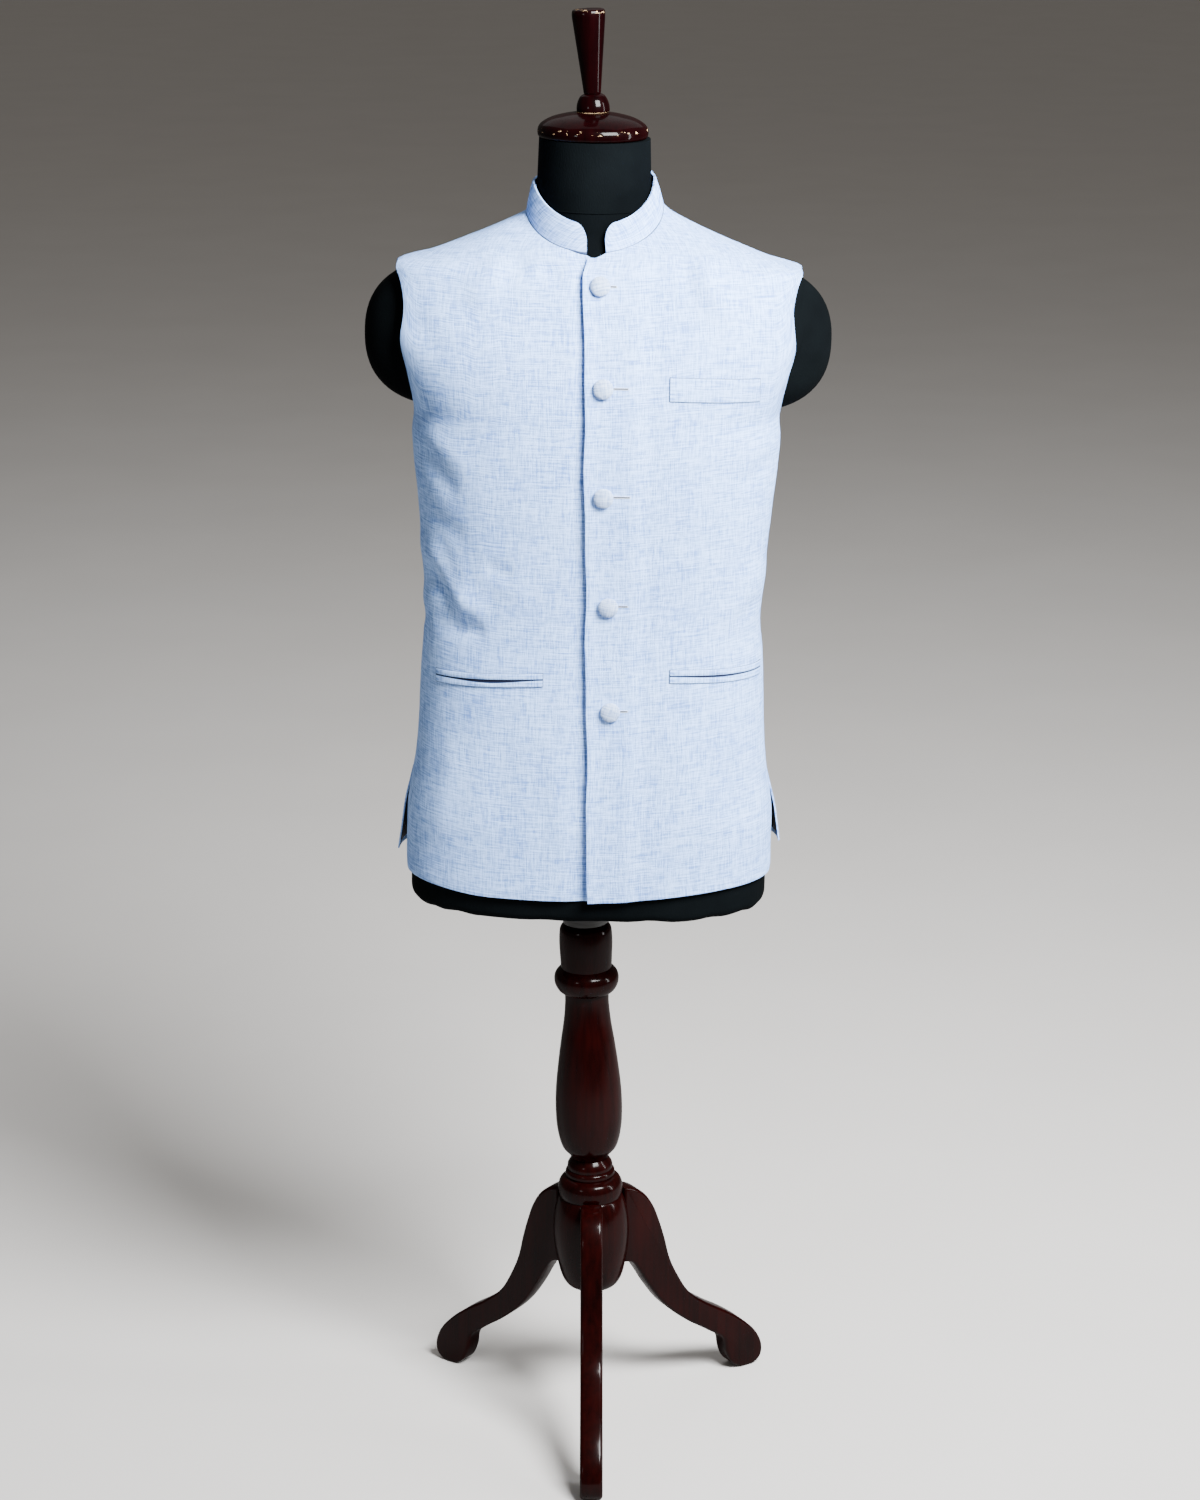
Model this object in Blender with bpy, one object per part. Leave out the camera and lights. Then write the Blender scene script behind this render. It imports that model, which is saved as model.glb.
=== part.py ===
"""A nehru jacket on a limbless dress form with a wooden tripod stand.

Metres, +Z up. The jacket's front faces -Y and the wearer's left is at +X.
The jacket and the form are drawn in the torso's own upright frame, where z is
the height above the floor, and their parent empty then leans them.
"""

import math

import bmesh
import bpy
from mathutils import Vector

# Middle of the whole part in plan, and the places and leans of the frames that carry it
ORIGIN = (0.0110, -0.0463)
TORSO_X = -0.0129
TORSO_LEAN = math.radians(1.05)
POST_X = 0.0063
POST_LEAN = math.radians(-0.93)
STAND_X = 0.0030
FINIAL_LEAN = math.radians(-3.9)
NECK_X = -0.0075
NECKLINE_X = -0.0060
CAP_X = -0.0097

# Cloth
WALL = 0.0020
COLLAR_WALL = 0.0026
TRIM_WALL = 0.0015
LINING_WALL = 0.0010
SEAM_GAP = 0.0003
HEM_Z = 0.6900
HEM_RISE = 0.0080
BACK_HEM_Z = 0.7070
BACK_HEM_RISE = 0.0100
VENT_TOP_Z = 0.8140
UNDERARM_Z = 1.2270
TIP_Z = 1.3850
CORNER = 2.5

# The outer face of the closed jacket, ring by ring
BODY_RINGS = (
    # height, half_width, front, back
    (0.640, 0.2085, 0.1190, 0.1240),
    (0.690, 0.2088, 0.1225, 0.1270),
    (0.724, 0.2084, 0.1230, 0.1280),
    (0.768, 0.2078, 0.1228, 0.1280),
    (0.797, 0.2038, 0.1215, 0.1265),
    (0.825, 0.1996, 0.1200, 0.1240),
    (0.868, 0.1957, 0.1180, 0.1185),
    (0.911, 0.1937, 0.1165, 0.1135),
    (0.953, 0.1915, 0.1155, 0.1100),
    (0.995, 0.1875, 0.1155, 0.1085),
    (1.036, 0.1900, 0.1175, 0.1100),
    (1.092, 0.1942, 0.1215, 0.1140),
    (1.133, 0.1977, 0.1250, 0.1185),
    (1.173, 0.2018, 0.1270, 0.1220),
    (1.200, 0.2033, 0.1275, 0.1238),
    (1.227, 0.2015, 0.1270, 0.1250),
    (1.243, 0.2090, 0.1260, 0.1253),
    (1.270, 0.2240, 0.1230, 0.1252),
    (1.310, 0.2420, 0.1150, 0.1232),
    (1.350, 0.2385, 0.1035, 0.1180),
    (1.375, 0.2290, 0.0945, 0.1120),
    (1.385, 0.2200, 0.0895, 0.1085),
    (1.392, 0.1940, 0.0845, 0.1060),
    (1.405, 0.1590, 0.0735, 0.1015),
    (1.417, 0.1290, 0.0560, 0.0960),
    (1.430, 0.1000, 0.0370, 0.0895),
    (1.443, 0.0765, 0.0200, 0.0800),
    (1.461, 0.0590, 0.0080, 0.0640),
)

# Armhole arch on the front and on the back: its deepest reach from the side line
ARMHOLE_FRONT = 0.0680
ARMHOLE_BACK = 0.0640
ARMHOLE_ARCH = 2.5

# Necklines in plan, and the collar that stands on them
NECKLINE_HALF = 0.0750
NECKLINE_FRONT = 0.0750
NECKLINE_BACK = 0.0730
NECK_RADIUS = 0.0603
COLLAR_TOP_HALF = 0.0662
COLLAR_TOP_DEPTH = 0.0655
COLLAR_HEIGHT_FRONT = 0.0340
COLLAR_HEIGHT_SIDE = 0.0320
COLLAR_BOW = 0.0004
COLLAR_SEAM_LIFT = 0.0016
COLLAR_OPEN_RIGHT = 0.0078
COLLAR_OPEN_LEFT = 0.0124
COLLAR_ROUND = 0.0130
COLLAR_COLUMNS = 40
COLLAR_ROWS = 4

# Front overlap, measured across from the torso's middle
OVERLAP_TOP_X = -0.0165
OVERLAP_HEM_X = -0.0010
OVERLAP_EDGE = 0.0040
OVERLAP_LIFT = 0.0026
OVERLAP_BLEND_X = (0.0360, 0.0620)
OVERLAP_NECK_X = (0.0060, -0.0140)
OVERLAP_NECK_Z = (1.3650, 1.3950)
OVERLAP_NECK_DROP = 0.0060
LEFT_COLUMNS_X = (0.0180, 0.0360, 0.0620)
RIGHT_COLUMNS_X = (0.0300, 0.0120, -0.0060, -0.0240, -0.0460)

# Grid of each panel
BODY_ROWS = (0.0, 0.03, 0.10, 0.19, 0.28, 0.38, 0.48, 0.575, 0.67, 0.76, 0.85, 0.93, 1.0)
SKIRT_ROWS = 5
ARM_ROWS = 8
NECK_ROWS = 5
FRONT_COLUMNS = 14
BACK_COLUMNS = 24
SEAM_STRIP = math.radians(1.2)
FORM_COLUMNS = 32
HEM_CORNER = 0.0120
VENT_SPREAD = 0.0040
BACK_FLARE = 0.0110
BACK_FLARE_POWER = 1.3
BACK_FLARE_ANGLE = math.radians(38)

# Lining inside the back's skirt at each vent
LINING_COLUMNS = 4
LINING_ABOVE_HEM = 0.0120
LINING_EDGE = 0.12

# Soft folds of the cloth, raised out of the rings
FOLDS = (
    # x, z at one end, x, z at the other end, half_breadth, height, on_back
    (0.098, 1.405, 0.150, 1.330, 0.016, 0.0035, False),
    (-0.098, 1.405, -0.140, 1.345, 0.016, 0.0035, False),
    (-0.190, 1.100, -0.132, 1.000, 0.018, 0.0045, False),
    (-0.188, 1.038, -0.138, 0.988, 0.012, 0.0030, False),
    (0.185, 1.075, 0.148, 0.990, 0.018, 0.0035, False),
    (0.170, 1.090, 0.060, 0.985, 0.018, 0.0040, True),
    (-0.170, 1.070, -0.070, 0.975, 0.018, 0.0040, True),
    (0.150, 1.330, 0.120, 1.230, 0.020, 0.0035, True),
    (-0.150, 1.325, -0.125, 1.225, 0.020, 0.0035, True),
)

# Form: how far its skin lies inside the jacket's outer face
FORM_INSET = (
    # height, inset
    (0.660, 0.0055),
    (0.760, 0.0068),
    (0.900, 0.0090),
    (1.000, 0.0090),
    (1.120, 0.0078),
    (1.227, 0.0070),
    (1.385, 0.0066),
    (1.461, 0.0062),
)
FORM_SHOULDER_INSET = 0.0027
FORM_SHOULDER_ANGLE = math.radians(11)
FORM_SHOULDER_Z = (1.3810, 1.3890)
FORM_BASE_Z = 0.6600
FORM_BASE_ROUND = 0.0120
FORM_ROWS_BELOW = 4
FORM_NECK_ROWS = (
    # share of the way in to the neck's radius, rise above the neckline
    (0.25, 0.0040),
    (0.60, 0.0120),
    (1.00, 0.0260),
)
FORM_NECK_TOP_Z = 1.5212
ARM_CAP_CENTRE = (0.158, 0.0, 1.3065)
ARM_CAP_SIZE = (0.0980, 0.0600, 0.0805)
ARM_CAP_POWER = 2.4

# Buttons: fabric-covered domes
BUTTON_STEPS = 16
BUTTON_OUTLINE = (
    # radius, height
    (0.0040, 0.0),
    (0.0095, 0.0009),
    (0.0110, 0.0022),
    (0.0104, 0.0035),
    (0.0085, 0.0048),
    (0.0056, 0.0058),
    (0.0022, 0.0062),
)
BUTTONS = (
    # x, z
    (0.0010, 1.3735),
    (0.0060, 1.2675),
    (0.0083, 1.1505),
    (0.0158, 1.0275),
    (0.0202, 0.9090),
)

# Pockets on the torso's face; each runs from its inner end to its outer end
BREAST_WELT = {"inner": (0.0768, 1.2572), "outer": (0.1750, 1.2530), "height": 0.0260}
HIP_WELT_HEIGHT = 0.0070
HIP_POCKETS = {
    # inner x, inner z, outer x, outer z of the slit, sag of the slit's middle
    "right": (-0.0535, 0.9446, -0.1730, 0.9355, 0.0026),
    "left": (0.0845, 0.9500, 0.1868, 0.9443, 0.0010),
}
HIP_SLIT = 0.0012
TRIM_COLUMNS = 14
TRIM_ROWS = 2

# Turned wood of the neck: radius and height of each point on the outline
CAP_OUTLINE = (
    (0.0550, 1.5215),
    (0.0585, 1.5222),
    (0.0597, 1.5245),
    (0.0597, 1.5300),
    (0.0585, 1.5335),
    (0.0550, 1.5370),
    (0.0465, 1.5418),
    (0.0340, 1.5455),
    (0.0200, 1.5480),
    (0.0120, 1.5487),
)
BEAD_OUTLINE = (
    (0.0140, 1.5500),
    (0.0158, 1.5508),
    (0.0166, 1.5530),
    (0.0164, 1.5560),
    (0.0150, 1.5608),
    (0.0122, 1.5650),
    (0.0092, 1.5670),
)
HANDLE_OUTLINE = (
    (0.0080, 1.5673),
    (0.0092, 1.5685),
    (0.0096, 1.5720),
    (0.0115, 1.5900),
    (0.0143, 1.6160),
    (0.0169, 1.6400),
    (0.0178, 1.6490),
    (0.0178, 1.6540),
    (0.0168, 1.6565),
    (0.0120, 1.6575),
)

# Turned post of the stand
FLANGE_OUTLINE = (
    (0.0230, 0.6228),
    (0.0262, 0.6236),
    (0.0262, 0.6577),
    (0.0200, 0.6585),
)
POST_OUTLINE = (
    # radius, height, from the hub up
    (0.0215, 0.3285),
    (0.0240, 0.3330),
    (0.0315, 0.3420),
    (0.0345, 0.3500),
    (0.0380, 0.3680),
    (0.0392, 0.3900),
    (0.0385, 0.4150),
    (0.0355, 0.4450),
    (0.0315, 0.4750),
    (0.0275, 0.5020),
    (0.0255, 0.5260),
    (0.0258, 0.5370),
    (0.0310, 0.5390),
    (0.0350, 0.5440),
    (0.0375, 0.5520),
    (0.0365, 0.5600),
    (0.0325, 0.5655),
    (0.0295, 0.5680),
    (0.0300, 0.5760),
    (0.0305, 0.6100),
    (0.0290, 0.6175),
    (0.0250, 0.6215),
    (0.0150, 0.6225),
)
HUB_OUTLINE = (
    (0.0200, 0.1625),
    (0.0290, 0.1660),
    (0.0378, 0.1830),
    (0.0378, 0.2830),
    (0.0372, 0.2840),
    (0.0384, 0.2885),
    (0.0378, 0.2945),
    (0.0347, 0.2990),
    (0.0327, 0.3002),
    (0.0342, 0.3035),
    (0.0340, 0.3080),
    (0.0305, 0.3135),
    (0.0260, 0.3190),
    (0.0215, 0.3280),
)
LEG_THICKNESS = 0.0262
LEGS = (
    # name, degrees round the post from the front, reach of its inner end, stretch from there out
    ("leg_front", 0.0, 0.0384, 0.99),
    ("leg_left", 121.5, 0.0384, 1.00),
    ("leg_right", -126.0, 0.0395, 0.95),
)
# A leg's upper edge from the hub out to the toe, and its lower edge back from the heel
LEG_UPPER = (
    # reach, height
    (0.0385, 0.2825),
    (0.0520, 0.2790),
    (0.0675, 0.2680),
    (0.0800, 0.2500),
    (0.0885, 0.2290),
    (0.0965, 0.2040),
    (0.1045, 0.1740),
    (0.1160, 0.1490),
    (0.1330, 0.1220),
    (0.1600, 0.1000),
    (0.1900, 0.0805),
    (0.2160, 0.0600),
    (0.2340, 0.0395),
    (0.2410, 0.0190),
    (0.2370, 0.0060),
    (0.2270, 0.0),
)
LEG_LOWER = (
    (0.2090, 0.0),
    (0.1960, 0.0090),
    (0.1880, 0.0260),
    (0.1840, 0.0440),
    (0.1620, 0.0620),
    (0.1290, 0.0850),
    (0.0980, 0.1130),
    (0.0760, 0.1430),
    (0.0610, 0.1680),
    (0.0500, 0.1820),
    (0.0385, 0.1850),
)
ROUND_STEPS = 24
FINIAL_STEPS = 20

COLOURS = {
    # base colour, roughness
    "cloth": ((0.42, 0.53, 0.72), 0.85),
    "lining": ((0.01, 0.012, 0.03), 0.6),
    "jersey": ((0.008, 0.010, 0.011), 0.9),
    "wood": ((0.045, 0.008, 0.007), 0.25),
    "metal": ((0.12, 0.12, 0.12), 0.4),
}


def clear_scene():
    """Remove every object that the scene starts with."""
    for obj in list(bpy.data.objects):
        bpy.data.objects.remove(obj)


def material(slot):
    """The Principled material of a slot, made once."""
    found = bpy.data.materials.get(slot)
    if found:
        return found
    colour, roughness = COLOURS[slot]
    made = bpy.data.materials.new(slot)
    made.use_nodes = True
    shader = made.node_tree.nodes["Principled BSDF"]
    shader.inputs["Base Color"].default_value = (*colour, 1.0)
    shader.inputs["Roughness"].default_value = roughness
    shader.inputs["Metallic"].default_value = 1.0 if slot == "metal" else 0.0
    return made


def add_object(name, bm, slot, parent, smooth=True):
    """Turn a bmesh into the named object of one sub-part."""
    mesh = bpy.data.meshes.new(name)
    bm.to_mesh(mesh)
    bm.free()
    mesh.materials.append(material(slot))
    if smooth:
        mesh.shade_smooth()
        mesh.set_sharp_from_angle(angle=math.radians(40))
    obj = bpy.data.objects.new(name, mesh)
    bpy.context.scene.collection.objects.link(obj)
    obj.parent = parent
    return obj


def add_frame(name, location, lean, parent):
    """An empty that leans what it carries to the side."""
    frame = bpy.data.objects.new(name, None)
    bpy.context.scene.collection.objects.link(frame)
    frame.location = location
    frame.rotation_euler = (0.0, lean, 0.0)
    frame.parent = parent
    return frame


def lerp(a, b, t):
    return a + (b - a) * t


def smooth(t):
    """Ease from 0 to 1."""
    t = min(max(t, 0.0), 1.0)
    return t * t * (3.0 - 2.0 * t)


def ramp(value, limits):
    """Ease from 0 at the first limit to 1 at the second."""
    return smooth((value - limits[0]) / (limits[1] - limits[0]))


def power(value, exponent):
    """A power that keeps the sign."""
    return math.copysign(abs(value) ** exponent, value)


def slope(table, i, column):
    """The slope of a table's column at row i, for a smooth curve."""
    low = table[max(i - 1, 0)]
    high = table[min(i + 1, len(table) - 1)]
    return (high[column] - low[column]) / (high[0] - low[0])


def read_table(table, z, column=1):
    """Read a column at height z, on a smooth curve through the rows."""
    z = min(max(z, table[0][0]), table[-1][0])
    i = max(k for k in range(len(table) - 1) if table[k][0] <= z)
    low, high = table[i], table[i + 1]
    span = high[0] - low[0]
    t = (z - low[0]) / span
    start, end = low[column], high[column]
    leave, arrive = slope(table, i, column) * span, slope(table, i + 1, column) * span
    return (
        (2 * t**3 - 3 * t**2 + 1) * start
        + (t**3 - 2 * t**2 + t) * leave
        + (3 * t**2 - 2 * t**3) * end
        + (t**3 - t**2) * arrive
    )


def ring_point(angle, z):
    """A point of the jacket's plain outer face; -90 degrees is the middle front."""
    half_width = read_table(BODY_RINGS, z, 1)
    depth = read_table(BODY_RINGS, z, 2 if math.sin(angle) < 0 else 3)
    across = half_width * power(math.cos(angle), 2 / CORNER)
    return Vector((across, depth * power(math.sin(angle), 2 / CORNER), z))


def ring_normal(angle, z):
    """The outward direction of that face."""
    step = 0.004
    along = ring_point(angle + step, z) - ring_point(angle - step, z)
    up = ring_point(angle, z + step) - ring_point(angle, z - step)
    return along.cross(up).normalized()


def fold_height(point):
    """How far the folds raise the cloth at a point."""
    raised = 0.0
    for x0, z0, x1, z1, half_breadth, height, on_back in FOLDS:
        if on_back != (point.y > 0):
            continue
        ends = Vector((x0, z0)), Vector((x1, z1))
        line = ends[1] - ends[0]
        here = Vector((point.x, point.z)) - ends[0]
        t = min(max(here.dot(line) / line.length_squared, 0.0), 1.0)
        off = (here - line * t).length / half_breadth
        fade = smooth(min(t, 1 - t) * 3.0)
        raised += height * fade * math.exp(-off * off)
    return raised


def skin(angle, z, out=0.0, folded=True):
    """A point of the cloth, moved out along its normal."""
    point = ring_point(angle, z)
    if folded:
        out += fold_height(point)
    return point + ring_normal(angle, z) * out


def angle_at_x(x, z, back=False):
    """The ring angle where the face has this x."""
    share = x / read_table(BODY_RINGS, z, 1)
    angle = math.acos(min(max(power(share, CORNER / 2), -1.0), 1.0))
    return angle if back else -angle


def angle_at_y(y, z):
    """The ring angle on the wearer's left where the face has this y."""
    depth = read_table(BODY_RINGS, z, 2 if y < 0 else 3)
    return math.asin(power(y / depth, CORNER / 2))


def neck_height(angle):
    """The height at which the face meets the neckline, for a ring angle."""
    depth = NECKLINE_FRONT if math.sin(angle) < 0 else NECKLINE_BACK
    low, high = TIP_Z, BODY_RINGS[-1][0]
    for _ in range(30):
        middle = (low + high) / 2
        point = ring_point(angle, middle)
        outside = math.hypot((point.x - NECKLINE_X) / NECKLINE_HALF, point.y / depth) > 1
        low, high = (middle, high) if outside else (low, middle)
    return (low + high) / 2


def armhole_reach(z, deepest):
    """How far the armhole's edge lies from the side line at height z."""
    middle = (TIP_Z + UNDERARM_Z) / 2
    share = abs(z - middle) / (TIP_Z - middle)
    return deepest * max(1.0 - share**ARMHOLE_ARCH, 0.0) ** (1 / ARMHOLE_ARCH)


def hem_rise(x, z, hem, rise):
    """How far a hem that climbs towards the wearer's left lifts the cloth near it."""
    return rise * smooth(x / BODY_RINGS[1][1]) * smooth((VENT_TOP_Z - z) / (VENT_TOP_Z - hem))


def row_levels(hem):
    """The rows of a panel: heights up to the shoulder tip, then shares of the way up to the neck."""
    skirt = [lerp(hem, VENT_TOP_Z, i / SKIRT_ROWS) for i in range(SKIRT_ROWS)]
    body = [lerp(VENT_TOP_Z, UNDERARM_Z, t) for t in BODY_ROWS]
    turns = [math.pi * i / ARM_ROWS for i in range(1, ARM_ROWS + 1)]
    arm = [lerp(UNDERARM_Z, TIP_Z, (1 - math.cos(turn)) / 2) for turn in turns]
    neck = [i / NECK_ROWS for i in range(1, NECK_ROWS + 1)]
    return [("height", z) for z in skirt + body + arm] + [("share", s) for s in neck]


def side_angle(z, deepest, sign):
    """The ring angle of a panel's side edge on the wearer's left: seam, vent or armhole."""
    if z > UNDERARM_Z:
        reach = armhole_reach(z, deepest) + SEAM_GAP / 2
    else:
        open_share = smooth((VENT_TOP_Z - z) / (VENT_TOP_Z - HEM_Z))
        reach = SEAM_GAP / 2 + VENT_SPREAD * open_share
    return angle_at_y(sign * reach, z)


def level_height(level, angle):
    """The height of a panel's row at a ring angle."""
    kind, value = level
    if kind == "height":
        return value
    return lerp(TIP_Z, neck_height(angle), value)


def overlap_x(z):
    """Where the top front's edge lies across the torso."""
    return lerp(OVERLAP_HEM_X, OVERLAP_TOP_X, (z - HEM_Z) / (TIP_Z - HEM_Z))


def overlap_lift(x):
    """How far the top front stands off the under front."""
    return OVERLAP_LIFT * (1.0 - ramp(x, OVERLAP_BLEND_X))


def front_columns(level, side):
    """The ring angles of a front's columns, from its centre edge to its side edge.

    side is 1 for the wearer's left, whose front laps over the other.
    """
    z = level[1] if level[0] == "height" else TIP_Z
    if side > 0:
        across = [overlap_x(z), overlap_x(z) + OVERLAP_EDGE, *LEFT_COLUMNS_X]
    else:
        across = RIGHT_COLUMNS_X
    angles = [angle_at_x(x, z) for x in across]
    end = side_angle(z, ARMHOLE_FRONT, -1)
    if side < 0:
        end = -math.pi - end
    strip = math.copysign(SEAM_STRIP, end - angles[-1])
    rest = FRONT_COLUMNS - len(angles)
    return angles + [lerp(angles[-1], end - strip, i / rest) for i in range(1, rest + 1)] + [end]


def front_point(level, column, side):
    """A point of a front's outer face."""
    angle = front_columns(level, side)[column]
    z = level_height(level, angle)
    plain = ring_point(angle, z)
    if level == ("height", HEM_Z):
        edge = abs(ring_point(front_columns(level, side)[-1], z).y)
        reach = min(max((abs(plain.y) - edge) / HEM_CORNER, 0.0), 1.0)
        z += HEM_CORNER * (1.0 - math.sqrt(1.0 - (1.0 - reach) ** 2))
    z += hem_rise(plain.x, z, HEM_Z, HEM_RISE)
    if side < 0:
        return skin(angle, z)
    z -= OVERLAP_NECK_DROP * ramp(plain.x, OVERLAP_NECK_X) * ramp(z, OVERLAP_NECK_Z)
    return skin(angle, z, overlap_lift(plain.x))


def back_angle(start, column):
    """The ring angle of a back column; the first and last are narrow strips along the side edges."""
    end = math.pi - start
    if column < 1:
        return lerp(start, start + SEAM_STRIP, column)
    if column > BACK_COLUMNS - 1:
        return lerp(end, end - SEAM_STRIP, BACK_COLUMNS - column)
    return lerp(start + SEAM_STRIP, end - SEAM_STRIP, (column - 1) / (BACK_COLUMNS - 2))


def back_point(level, column, side=0):
    """A point of the back's outer face, from the wearer's left to the right, with a side for its seam."""
    z = level[1] if level[0] == "height" else TIP_Z
    start = side_angle(z, ARMHOLE_BACK, 1)
    angle = back_angle(start, column)
    if column == BACK_COLUMNS // 2:
        angle = angle_at_x(side * SEAM_GAP, z, True)
    z = level_height(level, angle)
    low = max(VENT_TOP_Z - z, 0.0) / (VENT_TOP_Z - BACK_HEM_Z)
    z += hem_rise(ring_point(angle, z).x, z, BACK_HEM_Z, BACK_HEM_RISE)
    near_side = 1.0 - smooth(min(angle, math.pi - angle) / BACK_FLARE_ANGLE)
    return skin(angle, z, BACK_FLARE * low**BACK_FLARE_POWER * near_side)


def grid_sheet(columns, rows, place):
    """A grid of faces whose point (column, row) is where place puts it."""
    bm = bmesh.new()
    bmesh.ops.create_grid(bm, x_segments=columns, y_segments=rows, size=0.5)
    for vert in bm.verts:
        column = round((vert.co.x + 0.5) * columns)
        row = round((vert.co.y + 0.5) * rows)
        vert.co = place(column, row)
    return bm


def wall_object(name, bm, wall, slot, parent):
    """A sheet with a wall's thickness, grown inwards from its outer face."""
    obj = add_object(name, bm, slot, parent)
    solid = obj.modifiers.new("wall", "SOLIDIFY")
    solid.thickness = wall
    solid.offset = -1.0
    solid.use_even_offset = False


def make_front(name, side, torso):
    """One front, from hem to shoulder seam."""
    levels = row_levels(HEM_Z)

    def place(column, row):
        return front_point(levels[row], column if side > 0 else FRONT_COLUMNS - column, side)

    bm = grid_sheet(FRONT_COLUMNS, len(levels) - 1, place)
    wall_object(name, bm, WALL, "cloth", torso)


def make_back(name, side, torso):
    """One half of the back, from its centre seam to the side, with a vent in its skirt."""
    levels = row_levels(BACK_HEM_Z)
    half = BACK_COLUMNS // 2
    first = 0 if side > 0 else half
    bm = grid_sheet(half, len(levels) - 1, lambda column, row: back_point(levels[row], first + column, side))
    wall_object(name, bm, WALL, "cloth", torso)


def make_vent_lining(name, side, torso):
    """The lining that shows inside the back's skirt at one vent, edge first on the wearer's left."""
    levels = [z for _, z in row_levels(BACK_HEM_Z)[1 : SKIRT_ROWS + 2]]
    levels.insert(0, BACK_HEM_Z + LINING_ABOVE_HEM)
    step = 0.001

    def place(column, row):
        z = levels[row]
        column = column if side > 0 else LINING_COLUMNS - column
        under = max(column, LINING_EDGE)
        at = under if side > 0 else BACK_COLUMNS - under
        along = back_point(("height", z), at + step) - back_point(("height", z), at - step)
        up = back_point(("height", z + step), at) - back_point(("height", z - step), at)
        return back_point(("height", z), at) - along.cross(up).normalized() * (WALL + SEAM_GAP)

    wall_object(name, grid_sheet(LINING_COLUMNS, len(levels) - 1, place), LINING_WALL, "lining", torso)


def neckline_point(turn):
    """A point of the neckline by its plan angle around the neck, -90 degrees at the front."""
    depth = NECKLINE_FRONT if math.sin(turn) < 0 else NECKLINE_BACK
    x = NECKLINE_X + NECKLINE_HALF * math.cos(turn)
    y = depth * math.sin(turn)
    low, high = TIP_Z, BODY_RINGS[-1][0]
    for _ in range(30):
        z = (low + high) / 2
        reach = read_table(BODY_RINGS, z, 2 if y < 0 else 3)
        inside = abs(x / read_table(BODY_RINGS, z, 1)) ** CORNER + abs(y / reach) ** CORNER < 1
        low, high = (z, high) if inside else (low, z)
    return Vector((x, y, low))


def collar_point(turn, share):
    """A point of the collar's outer face, from its seam up."""
    seam = neckline_point(turn) + Vector((0.0, 0.0, COLLAR_SEAM_LIFT))
    front_share = max(-math.sin(turn), 0.0)
    height = lerp(COLLAR_HEIGHT_SIDE, COLLAR_HEIGHT_FRONT, front_share)
    x = NECK_X + COLLAR_TOP_HALF * math.cos(turn)
    top = Vector((x, COLLAR_TOP_DEPTH * math.sin(turn), seam.z + height))
    point = seam.lerp(top, share)
    outward = Vector((math.cos(turn), math.sin(turn), 0.0))
    return point + outward * COLLAR_BOW * math.sin(math.pi * share)


def make_collar(torso):
    """The standing band, open at the front with rounded ends."""
    start = -math.pi / 2 + math.asin(COLLAR_OPEN_LEFT / NECKLINE_HALF)
    end = 1.5 * math.pi - math.asin(COLLAR_OPEN_RIGHT / NECKLINE_HALF)
    step = (end - start) / COLLAR_COLUMNS

    def place(column, row):
        near_end = min(column, COLLAR_COLUMNS - column) * step * NECKLINE_HALF
        inset = min(near_end / COLLAR_ROUND, 1.0)
        round_off = 1.0 - math.sqrt(1.0 - (1.0 - inset) ** 2)
        share = row / COLLAR_ROWS * (1.0 - round_off * COLLAR_ROUND / COLLAR_HEIGHT_FRONT)
        return collar_point(start + column * step, share)

    wall_object("collar", grid_sheet(COLLAR_COLUMNS, COLLAR_ROWS, place), COLLAR_WALL, "cloth", torso)


def face_point(x, z, out):
    """A point in front of the jacket's face by its x and z."""
    angle = angle_at_x(x, z)
    return skin(angle, z, out + (overlap_lift(x) if x > overlap_x(z) else 0.0))


def make_band(name, inner, outer, height, sag, torso):
    """A flat strip on a front, made from the front's points moved out.

    inner and outer are the x and z of the two ends of its lower edge.
    """
    lift = SEAM_GAP + TRIM_WALL

    def place(column, row):
        t = column / TRIM_COLUMNS
        t = 1.0 - t if inner[0] < 0 else t
        x = lerp(inner[0], outer[0], t)
        z = lerp(inner[1], outer[1], t) - sag * math.sin(math.pi * t) + height * row / TRIM_ROWS
        return face_point(x, z, lift)

    wall_object(name, grid_sheet(TRIM_COLUMNS, TRIM_ROWS, place), TRIM_WALL, "cloth", torso)


def make_pockets(torso):
    """The breast welt and the double welts of the hip pockets."""
    inner, outer, height = BREAST_WELT["inner"], BREAST_WELT["outer"], BREAST_WELT["height"]
    make_band("breast_welt", inner, outer, height, 0.0, torso)
    above, below = HIP_SLIT / 2, -HIP_SLIT / 2 - HIP_WELT_HEIGHT
    for side, (x0, z0, x1, z1, sag) in HIP_POCKETS.items():
        for place, shift, droop in (("upper", above, 0.0), ("lower", below, sag)):
            name = f"hip_pocket_{side}_{place}_welt"
            make_band(name, (x0, z0 + shift), (x1, z1 + shift), HIP_WELT_HEIGHT, droop, torso)


def make_buttons(torso):
    """Five covered buttons down the overlap."""
    for number, (x, z) in enumerate(BUTTONS, start=1):
        bm = turned(BUTTON_OUTLINE, BUTTON_STEPS)
        facing = ring_normal(angle_at_x(x, z), z)
        seat = facing.to_track_quat("Z", "Y").to_matrix().to_4x4()
        seat.translation = face_point(x, z, SEAM_GAP)
        bmesh.ops.transform(bm, matrix=seat, verts=bm.verts)
        add_object(f"button_{number}", bm, "cloth", torso)


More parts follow.
